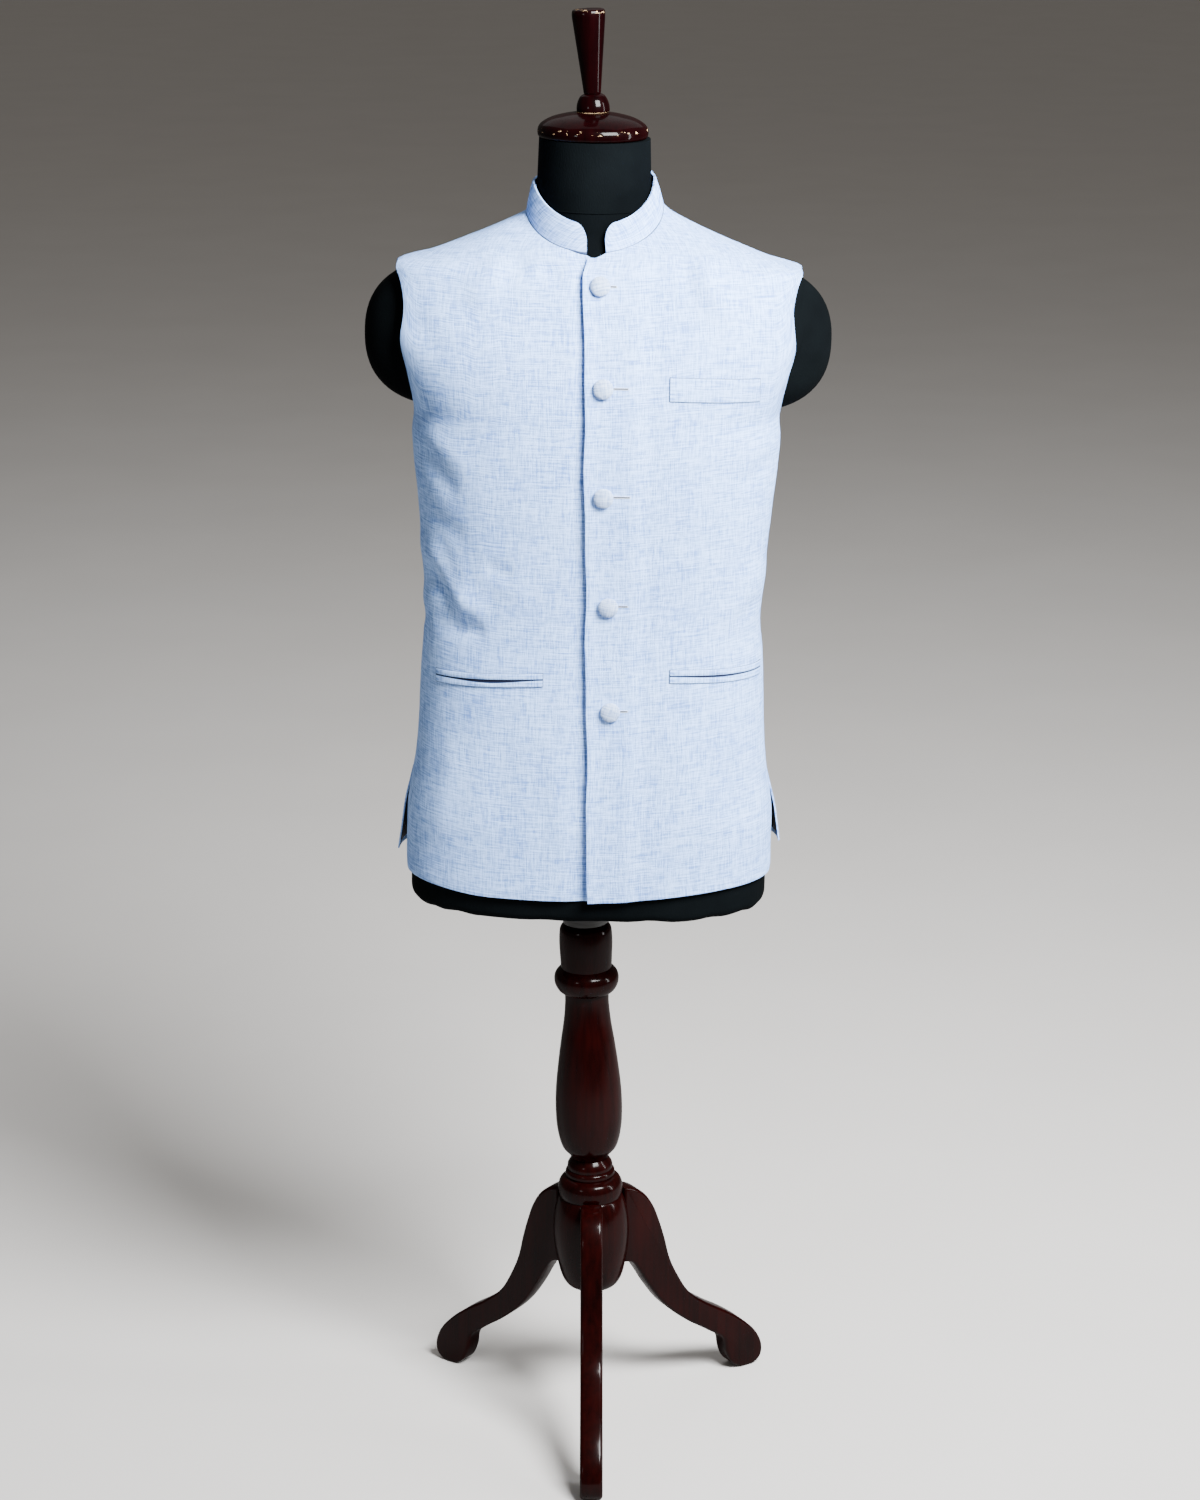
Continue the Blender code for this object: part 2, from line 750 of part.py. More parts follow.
def turned(outline, steps=ROUND_STEPS):
    """A solid of revolution about Z from an outline of radius and height."""
    bm = bmesh.new()
    points = [(0.0, outline[0][1]), *outline, (0.0, outline[-1][1])]
    verts = [bm.verts.new((radius, 0.0, height)) for radius, height in points]
    edges = [bm.edges.new(pair) for pair in zip(verts, verts[1:])]
    bmesh.ops.spin(
        bm, geom=verts + edges, cent=(0, 0, 0), axis=(0, 0, 1), angle=math.tau, steps=steps, use_merge=True
    )
    bmesh.ops.remove_doubles(bm, verts=bm.verts, dist=1e-6)
    bmesh.ops.recalc_face_normals(bm, faces=bm.faces)
    return bm


def form_inset(angle, z):
    """How far the form's skin lies inside the jacket's face; it closes up along the shoulder line."""
    inset = read_table(FORM_INSET, z)
    from_side = abs(math.asin(min(max(math.sin(angle), -1.0), 1.0)))
    on_shoulder = ramp(z, FORM_SHOULDER_Z) * (1.0 - smooth(from_side / FORM_SHOULDER_ANGLE))
    return lerp(inset, FORM_SHOULDER_INSET, on_shoulder)


def form_rings():
    """The rings of the form from its base to the top of its neck."""
    angles = [math.tau * i / FORM_COLUMNS for i in range(FORM_COLUMNS)]
    rings = []
    for i in range(FORM_ROWS_BELOW):
        turn = math.pi / 2 * i / FORM_ROWS_BELOW
        z = FORM_BASE_Z + FORM_BASE_ROUND * (1 - math.cos(turn))
        inset = FORM_BASE_ROUND * (1 - math.sin(turn))
        rings.append([Vector((*skin(a, z, -form_inset(a, z) - inset, False).xy, z)) for a in angles])
    for level in row_levels(FORM_BASE_Z + FORM_BASE_ROUND):
        ring = []
        for a in angles:
            z = level_height(level, a)
            ring.append(skin(a, z, -form_inset(a, z), False))
        rings.append(ring)
    neckline = rings[-1]
    centre = Vector((NECK_X, 0.0))
    for inward, rise in FORM_NECK_ROWS:
        ring = []
        for point in neckline:
            neck = centre + (point.xy - centre).normalized() * NECK_RADIUS
            ring.append(Vector((*point.xy.lerp(neck, inward), point.z + rise)))
        rings.append(ring)
    foot = rings[-1]
    for share in (0.5, 1.0):
        rings.append([Vector((p.x, p.y, lerp(p.z, FORM_NECK_TOP_Z, share))) for p in foot])
    return rings


def loft(rings):
    """A closed solid through rings of equal length, with flat ends."""
    bm = bmesh.new()
    grid = [[bm.verts.new(point) for point in ring] for ring in rings]
    count = len(rings[0])
    for low, high in zip(grid, grid[1:]):
        for i in range(count):
            j = (i + 1) % count
            bm.faces.new((low[i], low[j], high[j], high[i]))
    bm.faces.new(list(reversed(grid[0])))
    bm.faces.new(grid[-1])
    bmesh.ops.recalc_face_normals(bm, faces=bm.faces)
    return bm


def arm_cap(side):
    """The rounded stub that fills one armhole."""
    bm = bmesh.new()
    bmesh.ops.create_uvsphere(bm, u_segments=20, v_segments=12, radius=1.0)
    for vert in bm.verts:
        direction = vert.co.normalized()
        reach = sum(abs(part) ** ARM_CAP_POWER for part in direction) ** (-1 / ARM_CAP_POWER)
        place = [c + s * d * reach for c, s, d in zip(ARM_CAP_CENTRE, ARM_CAP_SIZE, direction)]
        vert.co = (side * place[0], place[1], place[2])
    bmesh.ops.recalc_face_normals(bm, faces=bm.faces)
    return bm


def make_form(torso):
    """The padded torso with its neck and arm caps, as one jersey-covered body."""
    form = add_object("form_torso", loft(form_rings()), "jersey", torso)
    for name, side in (("left", 1), ("right", -1)):
        cap = add_object(f"guide_arm_cap_{name}", arm_cap(side), "jersey", torso)
        cap.hide_render = True
        cap.display_type = "WIRE"
        union = form.modifiers.new(f"arm_cap_{name}", "BOOLEAN")
        union.operation = "UNION"
        union.object = cap


def make_neck_cap(torso):
    """The turned cap, bead and handle on the neck."""
    top_z = CAP_OUTLINE[-1][1]
    neck = add_frame("neck_axis", (CAP_X, 0.0, 0.0), 0.0, torso)
    add_object("neck_cap", turned(CAP_OUTLINE), "wood", neck)
    finial = add_frame("finial_axis", (0.0, 0.0, top_z), FINIAL_LEAN, neck)
    for name, outline in (("finial_bead", BEAD_OUTLINE), ("finial_handle", HANDLE_OUTLINE)):
        bm = turned(outline, FINIAL_STEPS)
        bmesh.ops.translate(bm, vec=(0.0, 0.0, -top_z), verts=bm.verts)
        add_object(name, bm, "wood", finial)


def make_leg(name, degrees, root, stretch, stand):
    """One sawn leg, turned to its place round the hub."""
    bm = bmesh.new()
    start = LEG_UPPER[0][0]
    outline = [(root + (reach - start) * stretch, height) for reach, height in LEG_UPPER + LEG_LOWER]
    verts = [bm.verts.new((0.0, -reach, height)) for reach, height in outline]
    face = bm.faces.new(verts)
    grown = bmesh.ops.extrude_face_region(bm, geom=[face])
    moved = [item for item in grown["geom"] if isinstance(item, bmesh.types.BMVert)]
    bmesh.ops.translate(bm, vec=(LEG_THICKNESS, 0.0, 0.0), verts=moved)
    bmesh.ops.translate(bm, vec=(-LEG_THICKNESS / 2, 0.0, 0.0), verts=bm.verts)
    bmesh.ops.recalc_face_normals(bm, faces=bm.faces)
    leg = add_object(name, bm, "wood", stand)
    leg.rotation_euler = (0.0, 0.0, math.radians(degrees))


def make_stand(stand, post):
    """Hub, post and flange on the leaning axis, and three legs on the floor."""
    for name, outline, slot in (
        ("flange", FLANGE_OUTLINE, "metal"),
        ("post", POST_OUTLINE, "wood"),
        ("hub", HUB_OUTLINE, "wood"),
    ):
        add_object(name, turned(outline), slot, post)
    for name, degrees, root, stretch in LEGS:
        make_leg(name, degrees, root, stretch, stand)


def main():
    """Build the stand, the form and the jacket."""
    clear_scene()
    part = add_frame("part", (-ORIGIN[0], -ORIGIN[1], 0.0), 0.0, None)
    torso = add_frame("torso_frame", (TORSO_X, 0.0, 0.0), TORSO_LEAN, part)
    post = add_frame("post_frame", (POST_X, 0.0, 0.0), POST_LEAN, part)
    stand = add_frame("stand_frame", (STAND_X, 0.0, 0.0), 0.0, part)
    make_form(torso)
    make_neck_cap(torso)
    make_stand(stand, post)
    make_back("back_left", 1, torso)
    make_back("back_right", -1, torso)
    make_vent_lining("vent_lining_left", 1, torso)
    make_vent_lining("vent_lining_right", -1, torso)
    make_front("front_right", -1, torso)
    make_front("front_left", 1, torso)
    make_collar(torso)
    make_pockets(torso)
    make_buttons(torso)


main()
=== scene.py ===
"""Looks of a nehru jacket on a limbless dress form with a turned tripod stand.

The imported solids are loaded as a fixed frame, a finer piece stands for each of
them, and soft studio lights and a camera are set round them. Metres, +Z up; the
jacket's front faces -Y and the wearer's left is at +X.
"""

from __future__ import annotations

import logging
import math
from bisect import bisect_right
from collections.abc import Callable, Sequence
from dataclasses import dataclass, field
from enum import Enum, IntEnum
from typing import TypeVar

import bmesh
import bpy
from mathutils import Matrix, Vector, noise

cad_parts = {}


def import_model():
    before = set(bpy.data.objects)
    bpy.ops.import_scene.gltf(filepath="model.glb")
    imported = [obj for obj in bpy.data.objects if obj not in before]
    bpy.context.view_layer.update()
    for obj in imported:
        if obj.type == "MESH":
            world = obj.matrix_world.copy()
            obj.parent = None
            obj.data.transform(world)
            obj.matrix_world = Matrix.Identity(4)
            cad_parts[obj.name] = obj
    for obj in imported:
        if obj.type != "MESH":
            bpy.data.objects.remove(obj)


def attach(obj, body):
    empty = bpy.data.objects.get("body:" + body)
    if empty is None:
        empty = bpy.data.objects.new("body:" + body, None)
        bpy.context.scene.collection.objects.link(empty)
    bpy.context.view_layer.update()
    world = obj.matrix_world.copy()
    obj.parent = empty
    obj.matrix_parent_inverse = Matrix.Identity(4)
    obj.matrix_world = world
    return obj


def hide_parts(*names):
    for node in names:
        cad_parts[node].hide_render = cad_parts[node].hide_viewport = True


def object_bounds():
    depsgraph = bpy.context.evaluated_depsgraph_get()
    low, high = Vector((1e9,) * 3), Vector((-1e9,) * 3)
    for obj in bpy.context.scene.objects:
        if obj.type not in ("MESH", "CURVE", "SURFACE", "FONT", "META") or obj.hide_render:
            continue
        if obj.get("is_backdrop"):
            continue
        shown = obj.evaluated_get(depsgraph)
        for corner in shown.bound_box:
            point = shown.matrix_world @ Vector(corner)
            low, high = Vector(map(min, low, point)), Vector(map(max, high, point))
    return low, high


LOG = logging.getLogger("jacket")
Material = bpy.types.Material
Piece = bpy.types.Object
Mesh = bmesh.types.BMesh
Colour = tuple[float, float, float, float]
Outline = Sequence[tuple[float, float]]
Level = tuple[bool, float]
Place = Callable[[int, int], Vector]
Amount = TypeVar("Amount", float, Vector)

TINY = 1e-6
HALVINGS = 26


def lerp(a: float, b: float, t: float) -> float:
    """A number the share t of the way from a to b."""
    return a + (b - a) * t


def smooth(t: float) -> float:
    """Ease from 0 to 1."""
    t = min(max(t, 0.0), 1.0)
    return t * t * (3.0 - 2.0 * t)


def ramp(value: float, start: float, end: float) -> float:
    """Ease from 0 at start to 1 at end."""
    return smooth((value - start) / (end - start))


def signed_power(value: float, exponent: float) -> float:
    """A power that keeps the sign of its value."""
    return math.copysign(abs(value) ** exponent, value)


def spaced(start: float, end: float, step: float) -> list[float]:
    """Even stops from start to end, about a step apart.

    Args:
        start: The first stop.
        end: The last stop.
        step: The largest distance between two stops.

    Returns:
        The stops with both ends.
    """
    count = max(math.ceil(abs(end - start) / step), 1)
    return [lerp(start, end, i / count) for i in range(count + 1)]


def lengths(points: Sequence[Vector]) -> list[float]:
    """How far along a line of points each one lies.

    Args:
        points: The line.

    Returns:
        A length for each point, from 0.
    """
    reach = [0.0]
    for first, second in zip(points, points[1:]):
        reach.append(reach[-1] + (second - first).length)
    return reach


def hermite(start: Amount, leave: Amount, end: Amount, arrive: Amount, t: float) -> Amount:
    """A number or point on a smooth curve.

    Args:
        start: Where the curve starts.
        leave: Its direction there.
        end: Where it ends.
        arrive: Its direction there.
        t: The share of the way, from 0 to 1.

    Returns:
        The number or point.
    """
    return (
        start * (2 * t**3 - 3 * t**2 + 1)
        + leave * (t**3 - 2 * t**2 + t)
        + end * (3 * t**2 - 2 * t**3)
        + arrive * (t**3 - t**2)
    )


def narrowed(low: float, high: float, holds: Callable[[float], bool]) -> tuple[float, float]:
    """Halve a span until it is tiny round the place where a test stops holding.

    Args:
        low: The span's lower end, where the test holds.
        high: Its upper end, where it doesn't.
        holds: The test.

    Returns:
        The narrow span's two ends.
    """
    for _ in range(HALVINGS):
        middle = (low + high) / 2
        low, high = (middle, high) if holds(middle) else (low, middle)
    return low, high


def moved(x: float = 0.0, y: float = 0.0, z: float = 0.0) -> Matrix:
    """A frame moved by x, y and z."""
    return Matrix.Translation((x, y, z))


def leaning(degrees: float) -> Matrix:
    """A frame that leans to one side."""
    return Matrix.Rotation(math.radians(degrees), 4, "Y")


class Frames:
    """The leaning frames that carry the torso, the finial, the post and the legs."""

    cap_top = 1.5487
    torso_lean, post_lean, finial_lean = 1.05, -0.93, -3.9
    origin = moved(-0.0110, 0.0463)
    torso = origin @ moved(-0.0129) @ leaning(torso_lean)
    post = origin @ moved(0.0063) @ leaning(post_lean)
    stand = origin @ moved(0.0030)
    cap = torso @ moved(-0.0097)
    finial = cap @ moved(z=cap_top) @ leaning(finial_lean) @ moved(z=-cap_top)


class Value:
    """A shader socket that takes part in Python arithmetic."""

    def __init__(self, tree: bpy.types.NodeTree, socket: bpy.types.NodeSocket) -> None:
        """Wrap a socket of a tree."""
        self.tree = tree
        self.socket = socket

    def maths(self, operation: str, *others: float | Value, clamp: bool = False) -> Value:
        """Put a Math node after this value.

        Args:
            operation: The Math node's operation.
            others: The values of its other sockets, in order.
            clamp: Whether the result stays between 0 and 1.

        Returns:
            The node's result.
        """
        node = self.tree.nodes.new("ShaderNodeMath")
        node.operation = operation
        node.use_clamp = clamp
        for socket, value in zip(node.inputs, (self, *others)):
            if isinstance(value, Value):
                self.tree.links.new(value.socket, socket)
            else:
                socket.default_value = value
        return Value(self.tree, node.outputs[0])

    def __add__(self, other: float | Value) -> Value:
        """This value plus another."""
        return self.maths("ADD", other)

    __radd__ = __add__

    def __mul__(self, other: float | Value) -> Value:
        """This value times another."""
        return self.maths("MULTIPLY", other)

    __rmul__ = __mul__

    def __sub__(self, other: float | Value) -> Value:
        """This value less another."""
        return self.maths("SUBTRACT", other)

    def __rsub__(self, other: float) -> Value:
        """A number less this value."""
        return self.maths("MULTIPLY_ADD", -1.0, other)

    def __truediv__(self, other: float | Value) -> Value:
        """This value divided by another."""
        return self.maths("DIVIDE", other)

    def above(self, edge: float, softness: float) -> Value:
        """A mask that is 1 where this value passes an edge, with a soft border."""
        return ((self - edge) / softness).maths("ADD", 0.5, clamp=True)

    def sine(self) -> Value:
        """The sine of this value."""
        return self.maths("SINE")


class Shader:
    """One procedural material while its nodes are put together."""

    def __init__(self, name: str) -> None:
        """Start a material with a plain Principled surface."""
        self.material = bpy.data.materials.new(name)
        self.material.use_nodes = True
        self.tree = self.material.node_tree
        self.surface = self.tree.nodes["Principled BSDF"]

    def node(
        self, kind: str, settings: dict[str, object], inputs: dict[str | int, object], output: str | int = 0
    ) -> Value:
        """Add any node.

        Args:
            kind: The node's type.
            settings: Its own properties, set first.
            inputs: The values or links of its sockets.
            output: The socket that is handed on.

        Returns:
            The chosen output.
        """
        node = self.tree.nodes.new(kind)
        for key, setting in settings.items():
            setattr(node, key, setting)
        for key, value in inputs.items():
            if isinstance(value, Value):
                self.tree.links.new(value.socket, node.inputs[key])
            else:
                node.inputs[key].default_value = value
        return Value(self.tree, node.outputs[output])

    def place(self) -> Value:
        """The point in the object's own frame."""
        return self.node("ShaderNodeTexCoord", {}, {}, "Object")

    def cloth_place(self) -> Value:
        """The place on the cloth in metres, along and up the piece."""
        return self.node("ShaderNodeUVMap", {"uv_map": "cloth"}, {})

    def axis(self, vector: Value, name: str) -> Value:
        """One component of a vector."""
        return self.node("ShaderNodeSeparateXYZ", {}, {0: vector}, name)

    def scaled(self, vector: Value, scale: tuple[float, float, float], shift: float = 0.0) -> Value:
        """A vector stretched along each axis, and moved to another part of a pattern."""
        inputs = {0: vector, 1: scale, 2: (shift, shift, shift)}
        return self.node("ShaderNodeVectorMath", {"operation": "MULTIPLY_ADD"}, inputs)

    def cloud(self, vector: Value, scale: float = 1.0, detail: float = 2.0) -> Value:
        """Soft noise about 0.5."""
        return self.node("ShaderNodeTexNoise", {}, {"Vector": vector, "Scale": scale, "Detail": detail})

    def blend(self, factor: Value, first: object, second: object) -> Value:
        """A colour between two others."""
        return self.node("ShaderNodeMix", {"data_type": "RGBA"}, {0: factor, 6: first, 7: second}, 2)

    def bump(self, height: Value, distance: float, strength: float = 1.0) -> None:
        """Raise the surface by a height of 0 to 1 times a distance."""
        inputs = {"Height": height, "Distance": distance, "Strength": strength}
        self.dress({"Normal": self.node("ShaderNodeBump", {}, inputs)})

    def dress(self, sockets: dict[str, object]) -> None:
        """Set or link sockets of the surface."""
        for key, value in sockets.items():
            if isinstance(value, Value):
                self.tree.links.new(value.socket, self.surface.inputs[key])
            else:
                self.surface.inputs[key].default_value = value


def colour(red: float, green: float, blue: float) -> Colour:
    """An opaque colour of linear parts."""
    return (red, green, blue, 1.0)


@dataclass(frozen=True)
class Linen:
    """Pale blue linen with white and deeper blue slubs in both directions, and on some pieces a dark line
    of painted seam shade along the edges or the foot.
    """

    name: str
    shift: float = 0.0
    # rim and foot: how far a dark line of painted seam shade reaches in from the edges and up from the foot
    rim: float = 0.0
    foot: float = 0.0
    deep: Colour = colour(0.11, 0.225, 0.58)
    pale: Colour = colour(0.36, 0.570, 1.00)
    # the colour of the painted seam shade, and the softness of its border
    line: Colour = colour(0.03, 0.05, 0.11)
    seam_shade_border: float = 0.0004
    yarn: float = 0.0009
    relief: float = 0.00045
    # breadth and length of the two sizes of slubs
    warp_slubs: Outline = ((0.0011, 0.036), (0.0016, 0.012))
    weft_slubs: Outline = ((0.0011, 0.044), (0.0016, 0.014))
    warp_contrast: float = 1.6
    weft_contrast: float = 1.7
    haze_contrast: float = 0.4
    middle_tone: float = 0.56

    def streaks(self, shader: Shader, uv: Value, upright: bool) -> Value:
        """Slubs of two sizes that run up or across the cloth.

        Args:
            shader: The material in hand.
            uv: The place on the cloth.
            upright: Whether they run up the cloth.

        Returns:
            Noise about 1.
        """
        layers = []
        for breadth, length in self.warp_slubs if upright else self.weft_slubs:
            across, up = (breadth, length) if upright else (length, breadth)
            shift = self.shift + (3.7 if upright else 0.0) + breadth * 900
            layers.append(shader.cloud(shader.scaled(uv, (1 / across, 1 / up, 1.0), shift)))
        return layers[0] + layers[1]

    def seam_shaded(self, shader: Shader, base: Value, reach: Value, edge: float) -> Value:
        """A colour with a dark line of painted seam shade where a distance is less than an edge."""
        return shader.blend(1.0 - reach.above(edge, self.seam_shade_border), base, self.line)

    def material(self) -> Material:
        """Build the linen's material."""
        shader = Shader(self.name)
        uv = shader.cloth_place()
        warp, weft = self.streaks(shader, uv, True), self.streaks(shader, uv, False)
        haze = shader.cloud(shader.scaled(uv, (16.0, 22.0, 1.0), self.shift), detail=3.0)
        tone = (warp - 1.0) * self.warp_contrast + (weft - 1.0) * self.weft_contrast
        tone = (tone + (haze - 0.5) * self.haze_contrast + self.middle_tone).maths("ADD", 0.0, clamp=True)
        turn = math.tau / self.yarn
        weave = (shader.axis(uv, "X") * turn).sine() * (shader.axis(uv, "Y") * turn).sine()
        base = shader.blend(tone, self.deep, self.pale)
        # painted shade: a dark line along the piece's edges, where the welts meet the front
        if self.rim:
            ends = shader.node("ShaderNodeUVMap", {"uv_map": "rim"}, {})
            near = shader.axis(ends, "X").maths("MINIMUM", shader.axis(ends, "Y"))
            base = self.seam_shaded(shader, base, near, self.rim)
        # painted shade: a dark line along the foot, where the collar meets the fronts
        if self.foot:
            base = self.seam_shaded(shader, base, shader.axis(uv, "Y"), self.foot)
        shader.dress({"Base Color": base, "Roughness": 0.92 - tone * 0.10, "Specular IOR Level": 0.2})
        shader.bump(weave * 0.25 + warp * 0.5 + weft * 0.5, self.relief)
        return shader.material


@dataclass(frozen=True)
class Lining:
    """Dark navy lining with a scatter of small pale dashes."""

    name: str = "navy_lining"
    ground: Colour = colour(0.006, 0.008, 0.022)
    dash: Colour = colour(0.30, 0.36, 0.48)
    dash_reach: float = 0.13

    def material(self) -> Material:
        """Build the lining's material."""
        shader = Shader(self.name)
        uv = shader.cloth_place()
        cells = {"Vector": shader.scaled(uv, (160.0, 95.0, 1.0)), "Scale": 1.0, "Randomness": 0.35}
        spot = shader.node("ShaderNodeTexVoronoi", {}, cells, "Distance")
        base = shader.blend(1.0 - spot.above(self.dash_reach, 0.05), self.ground, self.dash)
        shader.dress({"Base Color": base, "Roughness": 0.7, "Specular IOR Level": 0.08})
        shader.bump(shader.cloud(shader.scaled(uv, (40.0, 900.0, 1.0))), 0.0002)
        return shader.material


@dataclass(frozen=True)
class Jersey:
    """Black stretched jersey with a faint cold tint and fine ribs."""

    name: str = "black_jersey"
    dark: Colour = colour(0.0008, 0.0012, 0.0015)
    worn: Colour = colour(0.0018, 0.0026, 0.0031)

    def material(self) -> Material:
        """Build the jersey's material."""
        shader = Shader(self.name)
        at = shader.place()
        wear = shader.cloud(at, 9.0, 4.0)
        rib = shader.cloud(shader.scaled(at, (900.0, 900.0, 260.0)), 1.0, 1.0)
        base = shader.blend(wear.above(0.52, 0.3), self.dark, self.worn)
        shader.dress({"Base Color": base, "Roughness": 0.80 + rib * 0.1, "Specular IOR Level": 0.012})
        shader.bump(rib, 0.0003)
        return shader.material


@dataclass(frozen=True)
class Varnish:
    """Dark red-brown varnish over wood, chipped to the bare wood along some rims."""

    name: str
    bands: tuple[tuple[float, float, float], ...] = ()
    dark: Colour = colour(0.0020, 0.0002, 0.0002)
    light: Colour = colour(0.0088, 0.0006, 0.0005)
    bare: Colour = colour(0.50, 0.34, 0.19)
    gloss: float = 0.14
    coat: float = 0.13

    def material(self) -> Material:
        """Build the varnish's material."""
        shader = Shader(self.name)
        at = shader.place()
        grain = shader.cloud(shader.scaled(at, (170.0, 170.0, 7.0)), 1.0, 4.0)
        patch = shader.cloud(at, 14.0, 3.0)
        tone = (grain * 0.6 + patch * 0.5).above(0.58, 0.45)
        body = shader.blend(tone, self.dark, self.light)
        rough, coat = 0.34 + patch * 0.16, self.coat
        if self.bands:
            chips = self.chips(shader, at)
            body = shader.blend(chips, body, self.bare)
            rough, coat = rough + chips * 0.4, self.coat - chips * self.coat
        shader.dress({"Base Color": body, "Roughness": rough, "Specular IOR Level": 0.004})
        shader.dress({"Coat Weight": coat, "Coat Roughness": self.gloss, "Coat IOR": 1.5})
        shader.bump(grain, 0.00016)
        return shader.material

    def chips(self, shader: Shader, at: Value) -> Value:
        """Chips where noise is high in a band of heights.

        Args:
            shader: The material in hand.
            at: The point in the object's frame.

        Returns:
            A mask of the chips.
        """
        height = shader.axis(at, "Z")
        flakes = shader.cloud(shader.scaled(at, (170.0, 170.0, 320.0), 2.3), 1.0, 3.0)
        total: float | Value = 0.0
        for middle, reach, edge in self.bands:
            near = 1.0 - (height - middle).maths("ABSOLUTE").above(reach, reach * 0.6)
            total = near * flakes.above(edge, 0.03) + total
        return total.maths("ADD", 0.0, clamp=True)


@dataclass(frozen=True)
class Steel:
    """Blackened steel of the flange."""

    name: str = "blackened_steel"

    def material(self) -> Material:
        """Build the steel's material."""
        shader = Shader(self.name)
        scratch = shader.cloud(shader.scaled(shader.place(), (60.0, 60.0, 700.0)), 1.0, 3.0)
        dark, bright = colour(0.012, 0.012, 0.012), colour(0.05, 0.05, 0.05)
        base = shader.blend(scratch, dark, bright)
        shader.dress({"Base Color": base, "Metallic": 0.8, "Roughness": 0.35 + scratch * 0.2})
        shader.bump(scratch, 0.00006)
        return shader.material


@dataclass(frozen=True)
class Thread:
    """Pale blue thread of the buttonholes, wound in close turns, with painted shade in the grooves between
    the turns.
    """

    name: str = "pale_thread"
    pitch: float = 0.0009

    def material(self) -> Material:
        """Build the thread's material."""
        shader = Shader(self.name)
        uv = shader.cloth_place()
        turns = (shader.axis(uv, "X") * (math.tau / self.pitch)).sine() * 0.5 + 0.5
        # darker in the grooves between the turns: painted shade
        base = shader.blend(turns, colour(0.30, 0.37, 0.50), colour(0.70, 0.77, 0.88))
        shader.dress({"Base Color": base, "Roughness": 0.7, "Sheen Weight": 0.2})
        shader.bump(turns, 0.0002)
        return shader.material


@dataclass(frozen=True)
class Paper:
    """Plain pale studio floor."""

    name: str = "pale_floor"

    def material(self) -> Material:
        """Build the floor's material."""
        shader = Shader(self.name)
        mottle = shader.cloud(shader.place(), 3.0, 4.0)
        base = shader.blend(mottle, colour(0.44, 0.43, 0.42), colour(0.48, 0.47, 0.46))
        shader.dress({"Base Color": base, "Roughness": 0.85})
        shader.bump(mottle, 0.0004)
        return shader.material


def add_piece(
    name: str,
    bm: Mesh,
    finish: Material,
    replaces: Sequence[str],
    slot: str,
    frame: Matrix = Frames.torso,
    sharp: float | None = None,
    wall: tuple[float, float] | None = None,
) -> Piece:
    """Turn a bmesh into a piece that rides with the part.

    Args:
        name: The piece's name.
        bm: Its mesh, which is freed.
        finish: Its material.
        replaces: The solids it stands for.
        slot: Not used.
        frame: The frame that its points are given in.
        sharp: The angle in degrees past which edges stay sharp.
        wall: A sheet's thickness, and how far its edges are rounded.

    Returns:
        The object.
    """
    bmesh.ops.transform(bm, matrix=frame, verts=bm.verts)
    mesh = bpy.data.meshes.new(name)
    bm.to_mesh(mesh)
    bm.free()
    mesh.materials.append(finish)
    mesh.shade_smooth()
    if sharp is not None:
        mesh.set_sharp_from_angle(angle=math.radians(sharp))
    piece = bpy.data.objects.new(name, mesh)
    bpy.context.scene.collection.objects.link(piece)
    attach(piece, "root")
    if replaces:
        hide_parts(*replaces)
    if wall:
        add_wall(piece, *wall)
    LOG.info("%s: %d faces", name, len(mesh.polygons))
    return piece


def add_wall(piece: Piece, thickness: float, roll: float) -> None:
    """Give a sheet its thickness inwards, and round its edges.

    Args:
        piece: The sheet's object.
        thickness: The cloth's thickness.
        roll: How far its edges are rounded.
    """
    wall = piece.modifiers.new("wall", "SOLIDIFY")
    wall.thickness = thickness
    wall.offset = -1.0
    wall.use_even_offset = False
    edge = piece.modifiers.new("edge", "BEVEL")
    edge.width = roll
    edge.segments = 3
    edge.limit_method = "ANGLE"
    edge.angle_limit = math.radians(55)


def cloth_sheet(columns: int, rows: int, place: Place, grain_column: int = 0) -> Mesh:
    """A grid of cloth whose own map measures it in metres.

    Args:
        columns: The number of faces across.
        rows: The number of faces up.
        place: Gives the point of a column and a row.
        grain_column: The column that the grain runs along.

    Returns:
        The sheet, with a map named cloth and a map named rim of the distances to its edges.
    """
    bm = bmesh.new()
    cloth_map, rim_map = bm.loops.layers.uv.new("cloth"), bm.loops.layers.uv.new("rim")
    bmesh.ops.create_grid(bm, x_segments=columns, y_segments=rows, size=0.5)
    points = [[place(i, j) for i in range(columns + 1)] for j in range(rows + 1)]
    along, up = [lengths(row) for row in points], [[0.0] * (columns + 1)]
    for low, row in zip(points, points[1:]):
        up.append([up[-1][i] + _climb(low[i], row, i) for i in range(columns + 1)])
    cloth, rim = {}, {}
    for vert in bm.verts:
        i, j = round((vert.co.x + 0.5) * columns), round((vert.co.y + 0.5) * rows)
        vert.co = points[j][i]
        cloth[vert] = (along[j][i] - along[j][grain_column], up[j][i])
        rim[vert] = (min(along[j][i], along[j][-1] - along[j][i]), min(up[j][i], up[-1][i] - up[j][i]))
    for face in bm.faces:
        for loop in face.loops:
            loop[cloth_map].uv = cloth[loop.vert]
            loop[rim_map].uv = rim[loop.vert]
    return bm


def _climb(below: Vector, row: Sequence[Vector], i: int) -> float:
    """How far a row's point lies from the one below it, square to the row."""
    along = (row[min(i + 1, len(row) - 1)] - row[max(i - 1, 0)]).normalized()
    step = row[i] - below
    return (step - along * step.dot(along)).length


